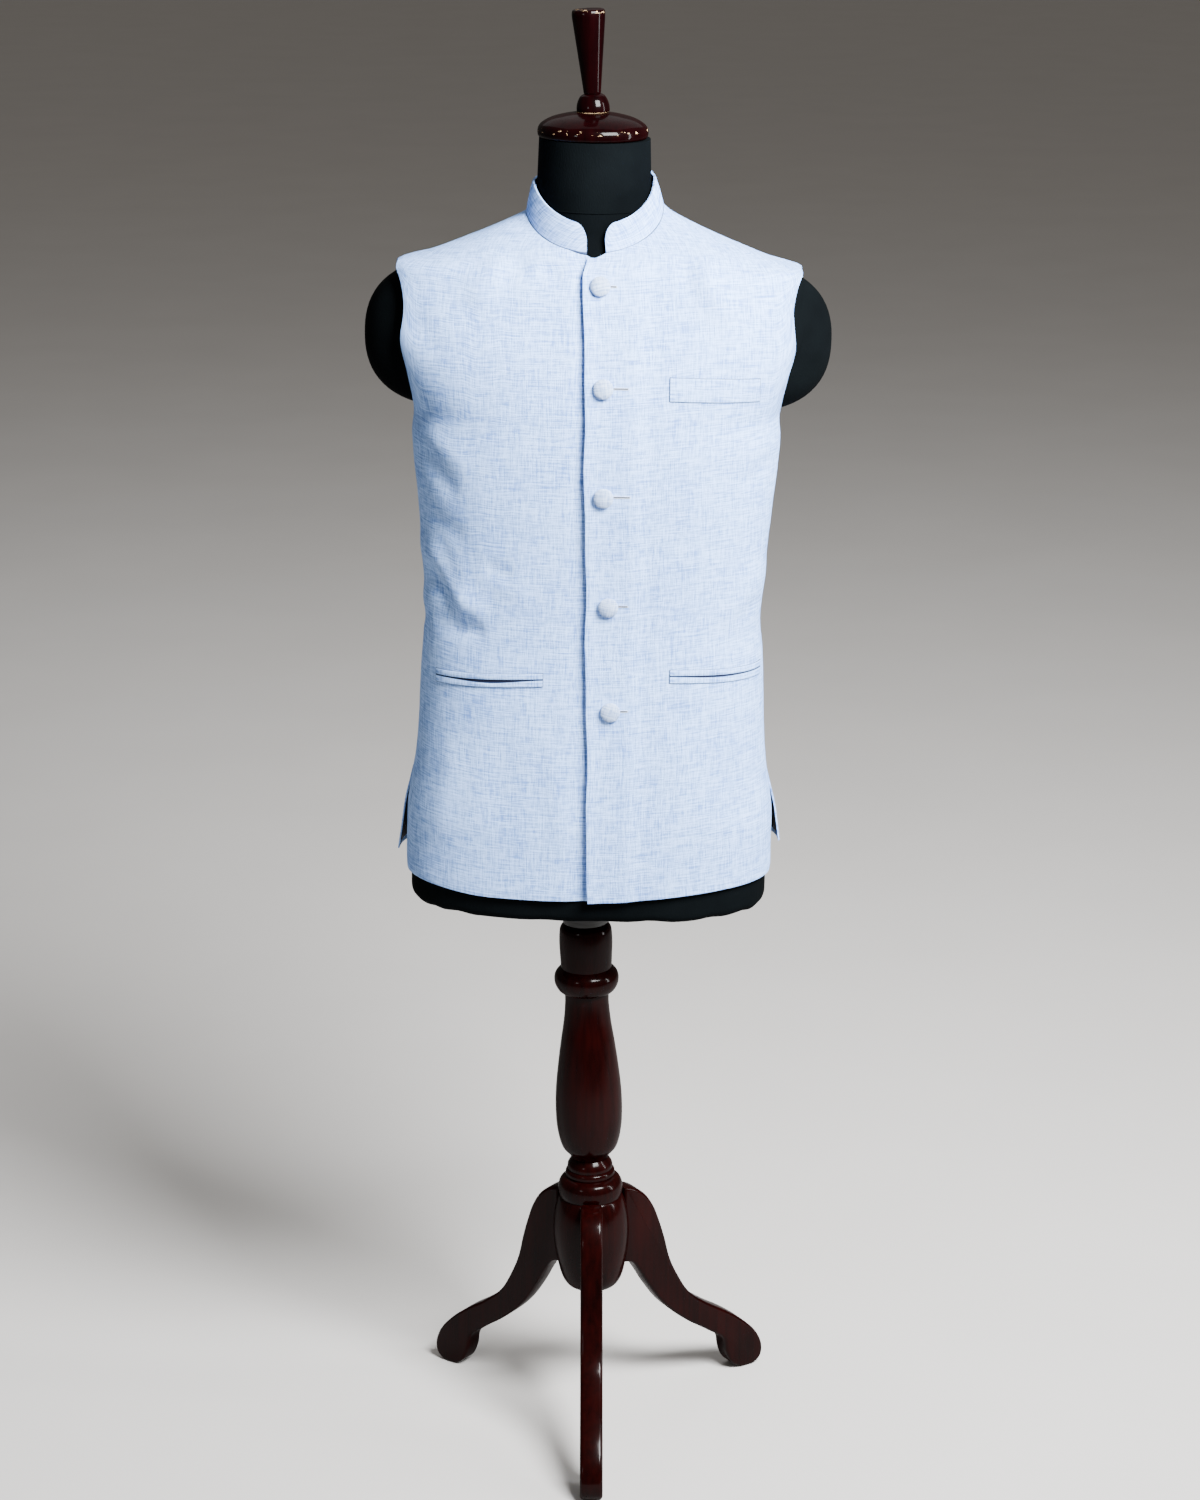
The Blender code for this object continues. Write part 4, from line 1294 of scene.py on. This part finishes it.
@dataclass
class Pockets:
    """The breast welt and the two hip pockets with double welts."""

    fronts: Fronts
    columns: int = 60
    rows: int = 8
    thickness: float = 0.0010
    upper_height: float = 0.0074
    lower_height: float = 0.0080
    slit: float = 0.0005

    def band(
        self,
        name: str,
        finish: Material,
        ends: tuple[float, float, float, float],
        height: float,
        sag: float,
        puff: float,
    ) -> Piece:
        """A soft strip on a front, made from the front's points moved out.

        Args:
            name: The solid that the strip stands for.
            finish: The cloth's material.
            ends: The x and z of its lower edge's inner and outer end.
            height: The strip's height.
            sag: How far the middle of it droops.
            puff: How far its middle stands out past its edges.

        Returns:
            The strip.
        """
        x0, z0, x1, z1 = ends

        def place(column: int, row: int) -> Vector:
            """The point of a column and a row."""
            t = column / self.columns
            t = 1.0 - t if x0 < 0 else t
            share = row / self.rows
            x = lerp(x0, x1, t)
            droop = sag * math.sin(math.pi * t) ** 2.2 * share
            z = lerp(z0, z1, t) - droop + height * share
            crown = puff * math.sin(math.pi * share) ** 0.5 * min(1.0, 12 * t, 12 * (1 - t))
            return self.fronts.face(x, z, 0.0003 + self.thickness + crown)

        bm = cloth_sheet(self.columns, self.rows, place)
        piece = add_piece(f"jacket_{name}", bm, finish, [name], "cloth", wall=(self.thickness, 0.0004))
        self.declare(piece, ends, height)
        return piece

    @staticmethod
    def declare(piece: Piece, ends: tuple[float, ...], height: float) -> None:
        """Work out the area of the cut of a narrow strip that is sewn flat to the cloth behind it, and keep
        nothing of it.
        """
        length = math.dist(ends[:2], ends[2:]) * 1.05
        length * height

    def mouth(self, name: str, finish: Material, ends: tuple[float, ...], sag: float) -> None:
        """A dark sheet of painted shade in the slit between two welts.

        Args:
            name: The piece's name.
            finish: The plain dark material of the painted shade.
            ends: The x and z of the slit's inner and outer end.
            sag: How far the lower lip droops.
        """
        x0, z0, x1, z1 = ends

        def place(column: int, row: int) -> Vector:
            """The point of a column and a row."""
            t = column / self.columns
            t = 1.0 - t if x0 < 0 else t
            z = lerp(z0, z1, t) + lerp(-sag * math.sin(math.pi * t) ** 2.2 - 0.0016, 0.0014, row / 4)
            return self.fronts.face(lerp(x0, x1, t), z, 0.0007)

        bm = cloth_sheet(self.columns, 4, place)
        self.declare(add_piece(name, bm, finish, [], "lining"), ends, 0.0055)

    def build(self, cloth: Material, lining: Material) -> None:
        """Build all three pockets.

        Args:
            cloth: The welts' material.
            lining: The plain dark material of the painted shade inside the slits.
        """
        self.band("breast_welt", cloth,(0.0768, 1.2572, 0.1750, 1.2530), 0.0260, 0.0, 0.0003)
        for side, ends, sag in (
            ("right", (-0.0535, 0.9446, -0.1730, 0.9355), 0.0026),
            ("left", (0.0845, 0.9500, 0.1868, 0.9443), 0.0010),
        ):
            x0, z0, x1, z1 = ends
            above, below = self.slit / 2, -self.slit / 2 - self.lower_height
            upper, lower = f"hip_pocket_{side}_upper_welt", f"hip_pocket_{side}_lower_welt"
            self.band(upper, cloth, (x0, z0 + above, x1, z1 + above), self.upper_height, 0.0, 0.0010)
            self.band(lower, cloth, (x0, z0 + below, x1, z1 + below), self.lower_height, sag, 0.0005)
            self.mouth(f"jacket_hip_pocket_{side}_mouth", lining, ends, sag)


@dataclass
class Buttons:
    """Five cloth-covered buttons with worked buttonholes beside them."""

    fronts: Fronts
    radius: float = 0.0110
    seat_out: float = 0.0011
    pucker: float = 0.00030
    hole_start: float = 0.006
    hole_rise: float = 0.0006
    hole_half: float = 0.00090
    thread_half: float = 0.00036
    thread_sides: int = 6
    slit_columns: int = 16
    places:tuple[tuple[float, float, float], ...] = (
        # x, z of the button, and the reach of its buttonhole past its middle
        (0.0010, 1.3735, 0.0178),
        (0.0060, 1.2699, 0.0272),
        (0.0083, 1.1534, 0.0290),
        (0.0158, 1.0300, 0.0215),
        (0.0202, 0.9106, 0.0195),
    )
    outline: Outline = (
        (0.0040, 0.0), (0.0092, 0.0006), (0.0106, 0.0014), (0.0110, 0.0024), (0.0104, 0.0038),
        (0.0088, 0.0051), (0.0062, 0.0062), (0.0032, 0.0069), (0.0008, 0.0071),
    )

    def seat(self, x: float, z: float, out: float) -> Matrix:
        """The frame of a place on the front, with Z outwards and Y up the cloth."""
        torso = self.fronts.torso
        facing = torso.normal(torso.angle_at_x(x, z), z)
        across = Vector((0.0, 0.0, 1.0)).cross(facing).normalized()
        frame = Matrix((across, facing.cross(across), facing)).transposed().to_4x4()
        frame.translation = self.fronts.face(x, z, out)
        return Frames.torso @ frame

    def button(self, number: int, x: float, z: float, finish: Material) -> None:
        """Build one covered button.

        Args:
            number: Its place, from the top.
            x: Where it is across the torso.
            z: Its height.
            finish: The cloth's material.
        """
        bm = turned(rounded(self.outline, 0.0006), 56)
        layer = bm.loops.layers.uv.new("cloth")
        grain = Matrix.Rotation(math.radians(7.0 * number - 20.0), 2)
        for vert in bm.verts:
            reach = math.hypot(vert.co.x, vert.co.y) / self.radius
            turn = math.atan2(vert.co.y, vert.co.x)
            pucker = math.sin(turn * 15 + number) * 0.5 + math.sin(turn * 8 + 2 * number) * 0.5
            vert.co.z += self.pucker * pucker * ramp(reach, 0.50, 0.95)
        for face in bm.faces:
            for loop in face.loops:
                spread = 1.0 + 0.25 * (1.0 - loop.vert.co.z / 0.0062)
                loop[layer].uv = grain @ (loop.vert.co.xy * spread) + Vector((number * 0.05, 0.3))
        name = f"button_{number}"
        add_piece(f"jacket_{name}", bm, finish, [name], "cloth", self.seat(x, z, self.seat_out))

    def buttonhole(self, number: int, x: float, z: float, reach: float, thread: Material) -> None:
        """Build one buttonhole as a stitched rim round its slit.

        Args:
            number: Its place, from the top.
            x: The button's place across the torso.
            z: Its height.
            reach: How far the hole's far end is from the button's middle.
            thread: The thread's material.
        """
        around, rim, half = self.thread_sides, self.thread_half, self.hole_half
        start, end = self.hole_start, reach - half
        path = [(s, -half) for s in spaced(start, end, 0.0012)]
        path += [(end + half * math.sin(a), -half * math.cos(a)) for a in spaced(0.3, math.pi - 0.3, 0.5)]
        path += [(s, half) for s in spaced(end, start, 0.0012)]
        steps = len(path) - 1

        def place(column: int, row: int) -> Vector:
            """The point of a column and a row."""
            along, side = path[column]
            before, after = path[max(column - 1, 0)], path[min(column + 1, steps)]
            run = Vector((after[0] - before[0], after[1] - before[1])).normalized()
            turn = math.tau * row / around
            shift = rim * math.cos(turn)
            px, pz = along - run.y * shift, side + run.x * shift
            return self.fronts.face(x + px, z + pz + self.hole_rise, 0.0003 + rim * math.sin(turn))

        bm = cloth_sheet(steps, around, place)
        seal(bm)
        add_piece(f"jacket_buttonhole_{number}", bm, thread, [], "cloth")

    def slit(self, number: int, x: float, z: float, reach: float, finish: Material) -> None:
        """Build the dark sheet of painted shade inside a buttonhole's slit.

        Args:
            number: Its place, from the top.
            x: The button's place across the torso.
            z: Its height.
            reach: How far the hole's far end is from the button's middle.
            finish: The slit's material, a painted shade.
        """

        def place(column: int, row: int) -> Vector:
            """The point of a column and a row."""
            along = lerp(self.hole_start, reach - 0.0008, column / self.slit_columns)
            return self.fronts.face(x + along, z + self.hole_rise + lerp(-0.0006, 0.0006, row), 0.0006)

        bm = cloth_sheet(self.slit_columns, 1, place)
        add_piece(f"jacket_buttonhole_{number}_slit", bm, finish, [], "lining")

    def build(self, cloth: Material, thread: Material, dark: Material) -> None:
        """Build every button and buttonhole.

        Args:
            cloth: The buttons' material.
            thread: The buttonholes' thread.
            dark: The painted shade inside the slits.
        """
        for number, (x, z, reach) in enumerate(self.places, start=1):
            self.button(number, x, z, cloth)
            self.buttonhole(number, x, z, reach, thread)
            self.slit(number, x, z, reach, dark)


@dataclass
class Form:
    """The padded torso with its neck and arm caps under one black jersey."""

    torso: Torso
    columns: int = 128
    neck_x: float = -0.0075
    neck_radius: float = 0.0603
    neck_foot: float = 0.0621
    neck_top: float = 1.5212
    base: float = 0.6600
    base_round: float = 0.0120
    cap_centre: tuple[float, float, float] = (0.158, 0.0, 1.3065)
    cap_size: tuple[float, float, float] = (0.0980, 0.0600, 0.0805)
    cap_power: float = 2.4
    base_rows: int = 9
    neckline_rows: int = 10
    neck_rows: int = 12
    seam_height: float = 1.4480
    seam_half: float = 0.0007
    # share of the way from the neckline in to the neck, and how far the jersey rises there
    neck_curve: Outline = ((0.0, 0.0), (0.25, 0.0040), (0.60, 0.0120), (0.90, 0.0200), (1.0, 0.0260))
    insets:Outline = (
        # height, inset from the jacket's face
        (0.640, 0.0055), (0.700, 0.0058), (0.760, 0.0068), (0.900, 0.0090), (1.227, 0.0070),
        (1.461, 0.0055),
    )

    def inset(self, z: float) -> float:
        """How far the jersey lies inside the jacket's face."""
        for low, high in zip(self.insets, self.insets[1:]):
            if z <= high[0]:
                return lerp(low[1], high[1], ramp(z, low[0], high[0]))
        return self.insets[-1][1]

    @staticmethod
    def ragged(angle: float) -> float:
        """How far the jersey's folded lower edge wanders up and down."""
        return 0.0042 * noise.noise(Vector((math.cos(angle) * 5.0, math.sin(angle) * 5.0, 2.0)))

    def ring(self, heights: Callable[[float], float], inset: float = 0.0) -> list[Vector]:
        """One ring of the torso.

        Args:
            heights: Gives the height at an angle.
            inset: How much further in the ring lies.

        Returns:
            Its points.
        """
        torso, points = self.torso, []
        for i in range(self.columns):
            angle = math.tau * i / self.columns - math.pi
            z = heights(angle)
            point = torso.point(angle, z)
            points.append(point - torso.normal(angle, z) * (self.inset(z) + inset))
        return points

    def rings(self) -> list[list[Vector]]:
        """Every ring, from the base to the top of the neck."""
        torso, rings = self.torso, []
        for i in range(self.base_rows):
            turn = math.pi / 2 * i / self.base_rows
            z =self.base + self.base_round * (1 - math.cos(turn))
            inset = self.base_round * (1 - math.sin(turn))
            rings.append(self.ring(lambda a, z=z: z + self.ragged(a), inset))
        for z in spaced(self.base + self.base_round, torso.tip, 0.012):
            rings.append(self.ring(lambda _, z=z: z))
        for share in [i / self.neckline_rows for i in range(1, self.neckline_rows + 1)]:
            rings.append(self.ring(lambda a, share=share: lerp(torso.tip, torso.neck_height(a), share)))
        neckline, centre = rings[-1], Vector((self.neck_x, 0.0))
        for inward, rise in rounded(self.neck_curve, 0.12)[1:]:
            rings.append([self._neck_point(point, centre, inward, rise) for point in neckline])
        foot = rings[-1]
        for share in [i / self.neck_rows for i in range(1, self.neck_rows + 1)]:
            slim = lerp(1.0, self.neck_radius / self.neck_foot, share)
            across = [(p.xy - centre) * slim + centre for p in foot]
            rings.append([Vector((*at, lerp(p.z, self.neck_top, share))) for at, p in zip(across, foot)])
        return rings

    def _neck_point(self, point: Vector, centre: Vector, inward: float, rise: float) -> Vector:
        """A point between the neckline and the neck's own circle."""
        neck = centre + (point.xy - centre).normalized() * self.neck_foot
        return Vector((*point.xy.lerp(neck, inward), point.z + rise))

    def add_cap(self, bm: Mesh, side: Side) -> None:
        """Add the rounded stub that fills one armhole."""
        made = bmesh.ops.create_uvsphere(bm, u_segments=64, v_segments=40, radius=1.0)["verts"]
        for vert in made:
            direction = vert.co.normalized()
            reach = sum(abs(part) ** self.cap_power for part in direction) ** (-1 / self.cap_power)
            place = [c + s * d * reach for c, s, d in zip(self.cap_centre, self.cap_size, direction)]
            vert.co = (side.value * place[0], place[1], place[2])

    def build(self, finish: Material) -> Piece:
        """Build the form.

        Args:
            finish: The jersey's material.

        Returns:
            The form.
        """
        bm = bmesh.new()
        loops = []
        for ring in self.rings():
            verts = [bm.verts.new(point) for point in ring]
            loops.append([bm.edges.new((a, b)) for a, b in zip(verts, verts[1:] + verts[:1])])
        for low, high in zip(loops, loops[1:]):
            bmesh.ops.bridge_loops(bm, edges=low + high)
        bmesh.ops.holes_fill(bm, edges=loops[0] + loops[-1], sides=0)
        for side in Side:
            self.add_cap(bm, side)
        bmesh.ops.recalc_face_normals(bm, faces=bm.faces)
        return add_piece("form_body", bm, finish, ["form_torso"], "jersey", Frames.torso, 50)

    def add_neck_seam(self, finish: Material) -> Piece:
        """Add the fine seam round the foot of the neck.

        Args:
            finish: The jersey's material.

        Returns:
            The seam.
        """
        bm = bmesh.new()
        upright = moved(self.neck_foot, z=self.seam_height) @ Matrix.Rotation(math.pi / 2, 4, "X")
        made = bmesh.ops.create_circle(bm, segments=8, radius=self.seam_half, matrix=upright)["verts"]
        ring = made + bm.edges[:]
        bmesh.ops.spin(bm, geom=ring, axis=(0, 0, 1), angle=math.tau, steps=96, use_merge=True)
        seal(bm)
        return add_piece("form_neck_seam", bm, finish, [], "jersey", Frames.torso @ moved(self.neck_x))


@dataclass
class Stand:
    """The turned cap and finial, the post with its hub, and three sawn legs."""

    steps: int = 88
    cap: Outline = (
        (0.0550, 1.5215), (0.0585, 1.5222), (0.0597, 1.5245), (0.0597, 1.5300), (0.0585, 1.5335),
        (0.0550, 1.5370), (0.0465, 1.5418), (0.0340, 1.5455), (0.0200, 1.5480), (0.0120, 1.5487),
    )
    bead: Outline = (
        (0.0165, 1.5478), (0.0177, 1.5490), (0.0179, 1.5512), (0.0176, 1.5555), (0.0160, 1.5610),
        (0.0130, 1.5658), (0.0098, 1.5678),
    )
    handle: Outline = (
        (0.0080, 1.5673), (0.0092, 1.5685), (0.0096, 1.5720), (0.0115, 1.5900), (0.0143, 1.6160),
        (0.0169, 1.6400), (0.0178, 1.6490), (0.0178, 1.6540), (0.0168, 1.6565), (0.0120, 1.6575),
    )
    flange: Outline = (
        (0.0230, 0.6228), (0.0230, 0.6228), (0.0262, 0.6236), (0.0262, 0.6236), (0.0262, 0.6577),
        (0.0262, 0.6577), (0.0200, 0.6585),
    )
    post: Outline = (
        (0.0215, 0.3285), (0.0240, 0.3330), (0.0315, 0.3420), (0.0345, 0.3500), (0.0380, 0.3680),
        (0.0392, 0.3900), (0.0385, 0.4150), (0.0355, 0.4450), (0.0315, 0.4750), (0.0275, 0.5020),
        (0.0255, 0.5260), (0.0258, 0.5370), (0.0258, 0.5370), (0.0310, 0.5390), (0.0350, 0.5440),
        (0.0375, 0.5520), (0.0365, 0.5600), (0.0325, 0.5655), (0.0295, 0.5680), (0.0295, 0.5680),
        (0.0300, 0.5760), (0.0305, 0.6100), (0.0290, 0.6175), (0.0250, 0.6215), (0.0150, 0.6225),
    )
    hub: Outline = (
        (0.0200, 0.1625), (0.0290, 0.1660), (0.0378, 0.1830), (0.0378, 0.2780), (0.0364, 0.2795),
        (0.0364, 0.2795), (0.0378, 0.2840), (0.0381, 0.2905), (0.0370, 0.2970), (0.0340, 0.3020),
        (0.0284, 0.3050), (0.0284, 0.3050), (0.0291, 0.3080), (0.0287, 0.3120), (0.0262, 0.3140),
        (0.0262, 0.3140), (0.0268, 0.3170), (0.0256, 0.3220), (0.0215, 0.3280),
    )
    outline_step: float = 0.0025
    turned_sharp: float = 48
    thickness: float = 0.0262
    leg_step: float = 0.006
    leg_sharp: float = 40
    edge_round: float = 0.0040
    legs:tuple[tuple[str, float, float, float], ...] = (
        # name, degrees round the post, reach of the inner end, stretch
        ("leg_front", 0.0, 0.0384, 0.99),
        ("leg_left", 121.5, 0.0384, 1.00),
        ("leg_right", -126.0, 0.0395, 0.95),
    )
    leg_upper: Outline = (
        (0.0385, 0.2825), (0.0520, 0.2790), (0.0675, 0.2680), (0.0800, 0.2500), (0.0885, 0.2290),
        (0.0965, 0.2040), (0.1045, 0.1740), (0.1160, 0.1490), (0.1330, 0.1220), (0.1600, 0.1000),
        (0.1900, 0.0805), (0.2160, 0.0600), (0.2340, 0.0395), (0.2410, 0.0190), (0.2370, 0.0060),
        (0.2270, 0.0),
    )
    leg_lower: Outline = (
        (0.2090, 0.0), (0.1960, 0.0090), (0.1880, 0.0260), (0.1840, 0.0440), (0.1620, 0.0620),
        (0.1290, 0.0850), (0.0980, 0.1130), (0.0760, 0.1430), (0.0610, 0.1680), (0.0500, 0.1820),
        (0.0385, 0.1850),
    )

    def build_turned(self, wood: Material, chipped: Material, steel: Material) -> None:
        """Build every turned piece.

        Args:
            wood: The post's finish.
            chipped: The finish of the cap and finial.
            steel: The flange's finish.
        """
        for name, outline, finish, frame, slot in (
            ("neck_cap", self.cap, chipped, Frames.cap, "wood"),
            ("finial_bead", self.bead, chipped, Frames.finial, "wood"),
            ("finial_handle", self.handle, chipped, Frames.finial, "wood"),
            ("flange", self.flange, steel, Frames.post, "metal"),
            ("post", self.post, wood, Frames.post, "wood"),
            ("hub", self.hub, wood, Frames.post, "wood"),
        ):
            bm = turned(rounded(outline, self.outline_step), self.steps)
            add_piece(f"stand_{name}", bm, finish, [name], slot, frame, self.turned_sharp)

    def build_leg(self, name: str, degrees: float, root: float, stretch: float, wood: Material) -> None:
        """Build one leg, sawn from a board with its edges eased.

        Args:
            name: The solid that the leg stands for.
            degrees: Its turn round the post.
            root: The reach of its inner end.
            stretch: How much longer it is than the pattern.
            wood: Its finish.
        """
        start = self.leg_upper[0][0]
        outline = [*rounded(self.leg_upper, self.leg_step), *rounded(self.leg_lower, self.leg_step)]
        bm = bmesh.new()
        half = self.thickness / 2
        verts = [bm.verts.new((-half, -(root + (x - start) * stretch), z)) for x, z in outline]
        grown = bmesh.ops.extrude_face_region(bm, geom=[bm.faces.new(verts)])["geom"]
        moved = [item for item in grown if isinstance(item, bmesh.types.BMVert)]
        bmesh.ops.translate(bm, vec=(self.thickness, 0.0, 0.0), verts=moved)
        bmesh.ops.recalc_face_normals(bm, faces=bm.faces)
        long_edges = [edge for edge in bm.edges if abs(edge.verts[0].co.x - edge.verts[1].co.x) < half]
        easing = {"offset": self.edge_round, "segments": 4, "profile": 0.5, "material": -1}
        bmesh.ops.bevel(bm, geom=long_edges, affect="EDGES", **easing)
        turn = Matrix.Rotation(math.radians(degrees), 4, "Z")
        add_piece(f"stand_{name}", bm, wood, [name], "wood", Frames.stand @ turn, self.leg_sharp)

    def build(self, wood: Material, chipped: Material, steel: Material) -> None:
        """Build the stand.

        Args:
            wood: The post's and legs' finish.
            chipped: The finish of the cap and finial.
            steel: The flange's finish.
        """
        self.build_turned(wood, chipped, steel)
        for name, degrees, root, stretch in self.legs:
            self.build_leg(name, degrees, root, stretch, wood)


@dataclass(frozen=True)
class Lamp:
    """One soft light of the studio."""

    name: str
    place: tuple[float, float, float]
    aim: tuple[float, float, float]
    size: tuple[float, float]
    power: float

    def add(self) -> None:
        """Hang the lamp."""
        light = bpy.data.lights.new(self.name, "AREA")
        light.shape = "RECTANGLE"
        light.size, light.size_y = self.size
        light.energy = self.power
        lamp = bpy.data.objects.new(self.name, light)
        lamp.location = self.place
        lamp.visible_camera = False
        facing = Vector(self.aim) - Vector(self.place)
        lamp.rotation_euler = facing.to_track_quat("-Z", "Y").to_euler()
        bpy.context.scene.collection.objects.link(lamp)


@dataclass
class Studio:
    """A pale floor, soft lamps and the camera."""

    lamps: tuple[Lamp, ...] = (
        Lamp("key", (1.10, -1.25, 2.55), (0.4, 0.0, 2.1), (1.1, 1.1), 520.0),
        Lamp("fill", (-2.0, -2.8, 1.9), (0.0, 0.0, 1.4), (0.25, 0.5), 12.0),
        Lamp("side", (2.6, -0.3, 1.6), (0.0, 0.0, 1.2), (0.2, 2.2), 70.0),
        Lamp("top", (0.0, 2.0, 4.0), (0.0, 0.0, 1.1), (4.0, 4.0), 55.0),
    )
    camera_place: tuple[float, float, float] = (0.0020, -3.6137, 1.9490)
    pitch: float = 17.0
    lens: float = 80.64
    sensor: float = 36.0
    air: Colour = colour(1.0, 0.93, 0.85)
    air_strength: float = 0.22
    floor_reach: float = 30.0

    def build(self, floor: Material) -> None:
        """Lay the floor, hang the lamps and set the camera.

        Args:
            floor: The floor's material.
        """
        bm = bmesh.new()
        bmesh.ops.create_circle(bm, cap_ends=True, segments=96, radius=self.floor_reach)
        mesh = bpy.data.meshes.new("floor")
        bm.to_mesh(mesh)
        bm.free()
        mesh.materials.append(floor)
        ground = bpy.data.objects.new("floor", mesh)
        bpy.context.scene.collection.objects.link(ground)
        ground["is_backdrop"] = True
        for lamp in self.lamps:
            lamp.add()
        world = bpy.data.worlds.new("studio")
        world.use_nodes = True
        background = world.node_tree.nodes["Background"]
        background.inputs["Color"].default_value = self.air
        background.inputs["Strength"].default_value = self.air_strength
        bpy.context.scene.world = world
        camera = bpy.data.cameras.new("camera")
        camera.sensor_width, camera.lens = self.sensor, self.lens
        eye = bpy.data.objects.new("camera", camera)
        eye.location = self.camera_place
        eye.rotation_euler = (math.radians(90.0 - self.pitch), 0.0, 0.0)
        bpy.context.scene.collection.objects.link(eye)
        bpy.context.scene.camera = eye


def plain_box(bounds: object) -> list[list[float]]:
    """A box of two corners as plain numbers."""
    return [[float(part) for part in corner] for corner in bounds]


def main() -> list[list[float]]:
    """Build every piece.

    Returns:
        The solids' own box, from before the pieces were added.
    """
    logging.basicConfig(level=logging.INFO, format="%(name)s %(message)s")
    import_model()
    box = plain_box(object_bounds())
    Studio().build(Paper().material())
    linen = Linen("slubbed_linen").material()
    linen_right = Linen("slubbed_linen_right", shift=11.3).material()
    linen_back = Linen("slubbed_linen_back", shift=23.9).material()
    # the collar's foot and the welts' edges carry a dark line of painted seam shade
    linen_trim = Linen("slubbed_linen_trim", shift=5.1, foot=0.0020).material()
    linen_welt = Linen("slubbed_linen_welt", shift=8.2, rim=0.0007).material()
    washed = {"deep": colour(0.15, 0.24, 0.46), "pale": colour(0.38, 0.50, 0.72)}
    linen_button = Linen("slubbed_linen_button", shift=5.1, **washed).material()
    lining, jersey = Lining(), Jersey().material()
    lining_cloth = lining.material()
    torso = Torso()
    form = Form(torso)
    form.build(jersey)
    form.add_neck_seam(jersey)
    fronts = Fronts(torso)
    fronts.build(Side.RIGHT, linen_right, "form_body")
    fronts.build(Side.LEFT, linen, "form_body")
    back = Back(torso)
    back.build(linen_back, "form_body")
    for side in Side:
        back.build_lining(side, lining_cloth)
    Collar(torso).build(linen_trim, "form_body")
    # a plain dark lining without dashes, painted shade for the pocket mouths and the buttonhole slits
    shade = Lining("pocket_shade", dash=lining.ground).material()
    Pockets(fronts).build(linen_welt, shade)
    Buttons(fronts).build(linen_button, Thread().material(), shade)
    # middle and reach of each chipped rim, and the noise past which it is chipped
    rims = ((1.5314, 0.0020, 0.64), (Frames.cap_top, 0.0002, 0.42), (1.6552, 0.0014, 0.61))
    cap_dark, cap_light = colour(0.0010, 0.0001, 0.0002), colour(0.0040, 0.0002, 0.0004)
    chipped = Varnish("chipped_varnish", rims, cap_dark, cap_light, gloss=0.09).material()
    Stand().build(Varnish("varnish").material(), chipped, Steel().material())
    return box


if __name__ == "__main__":
    SOLIDS_BOX = main()
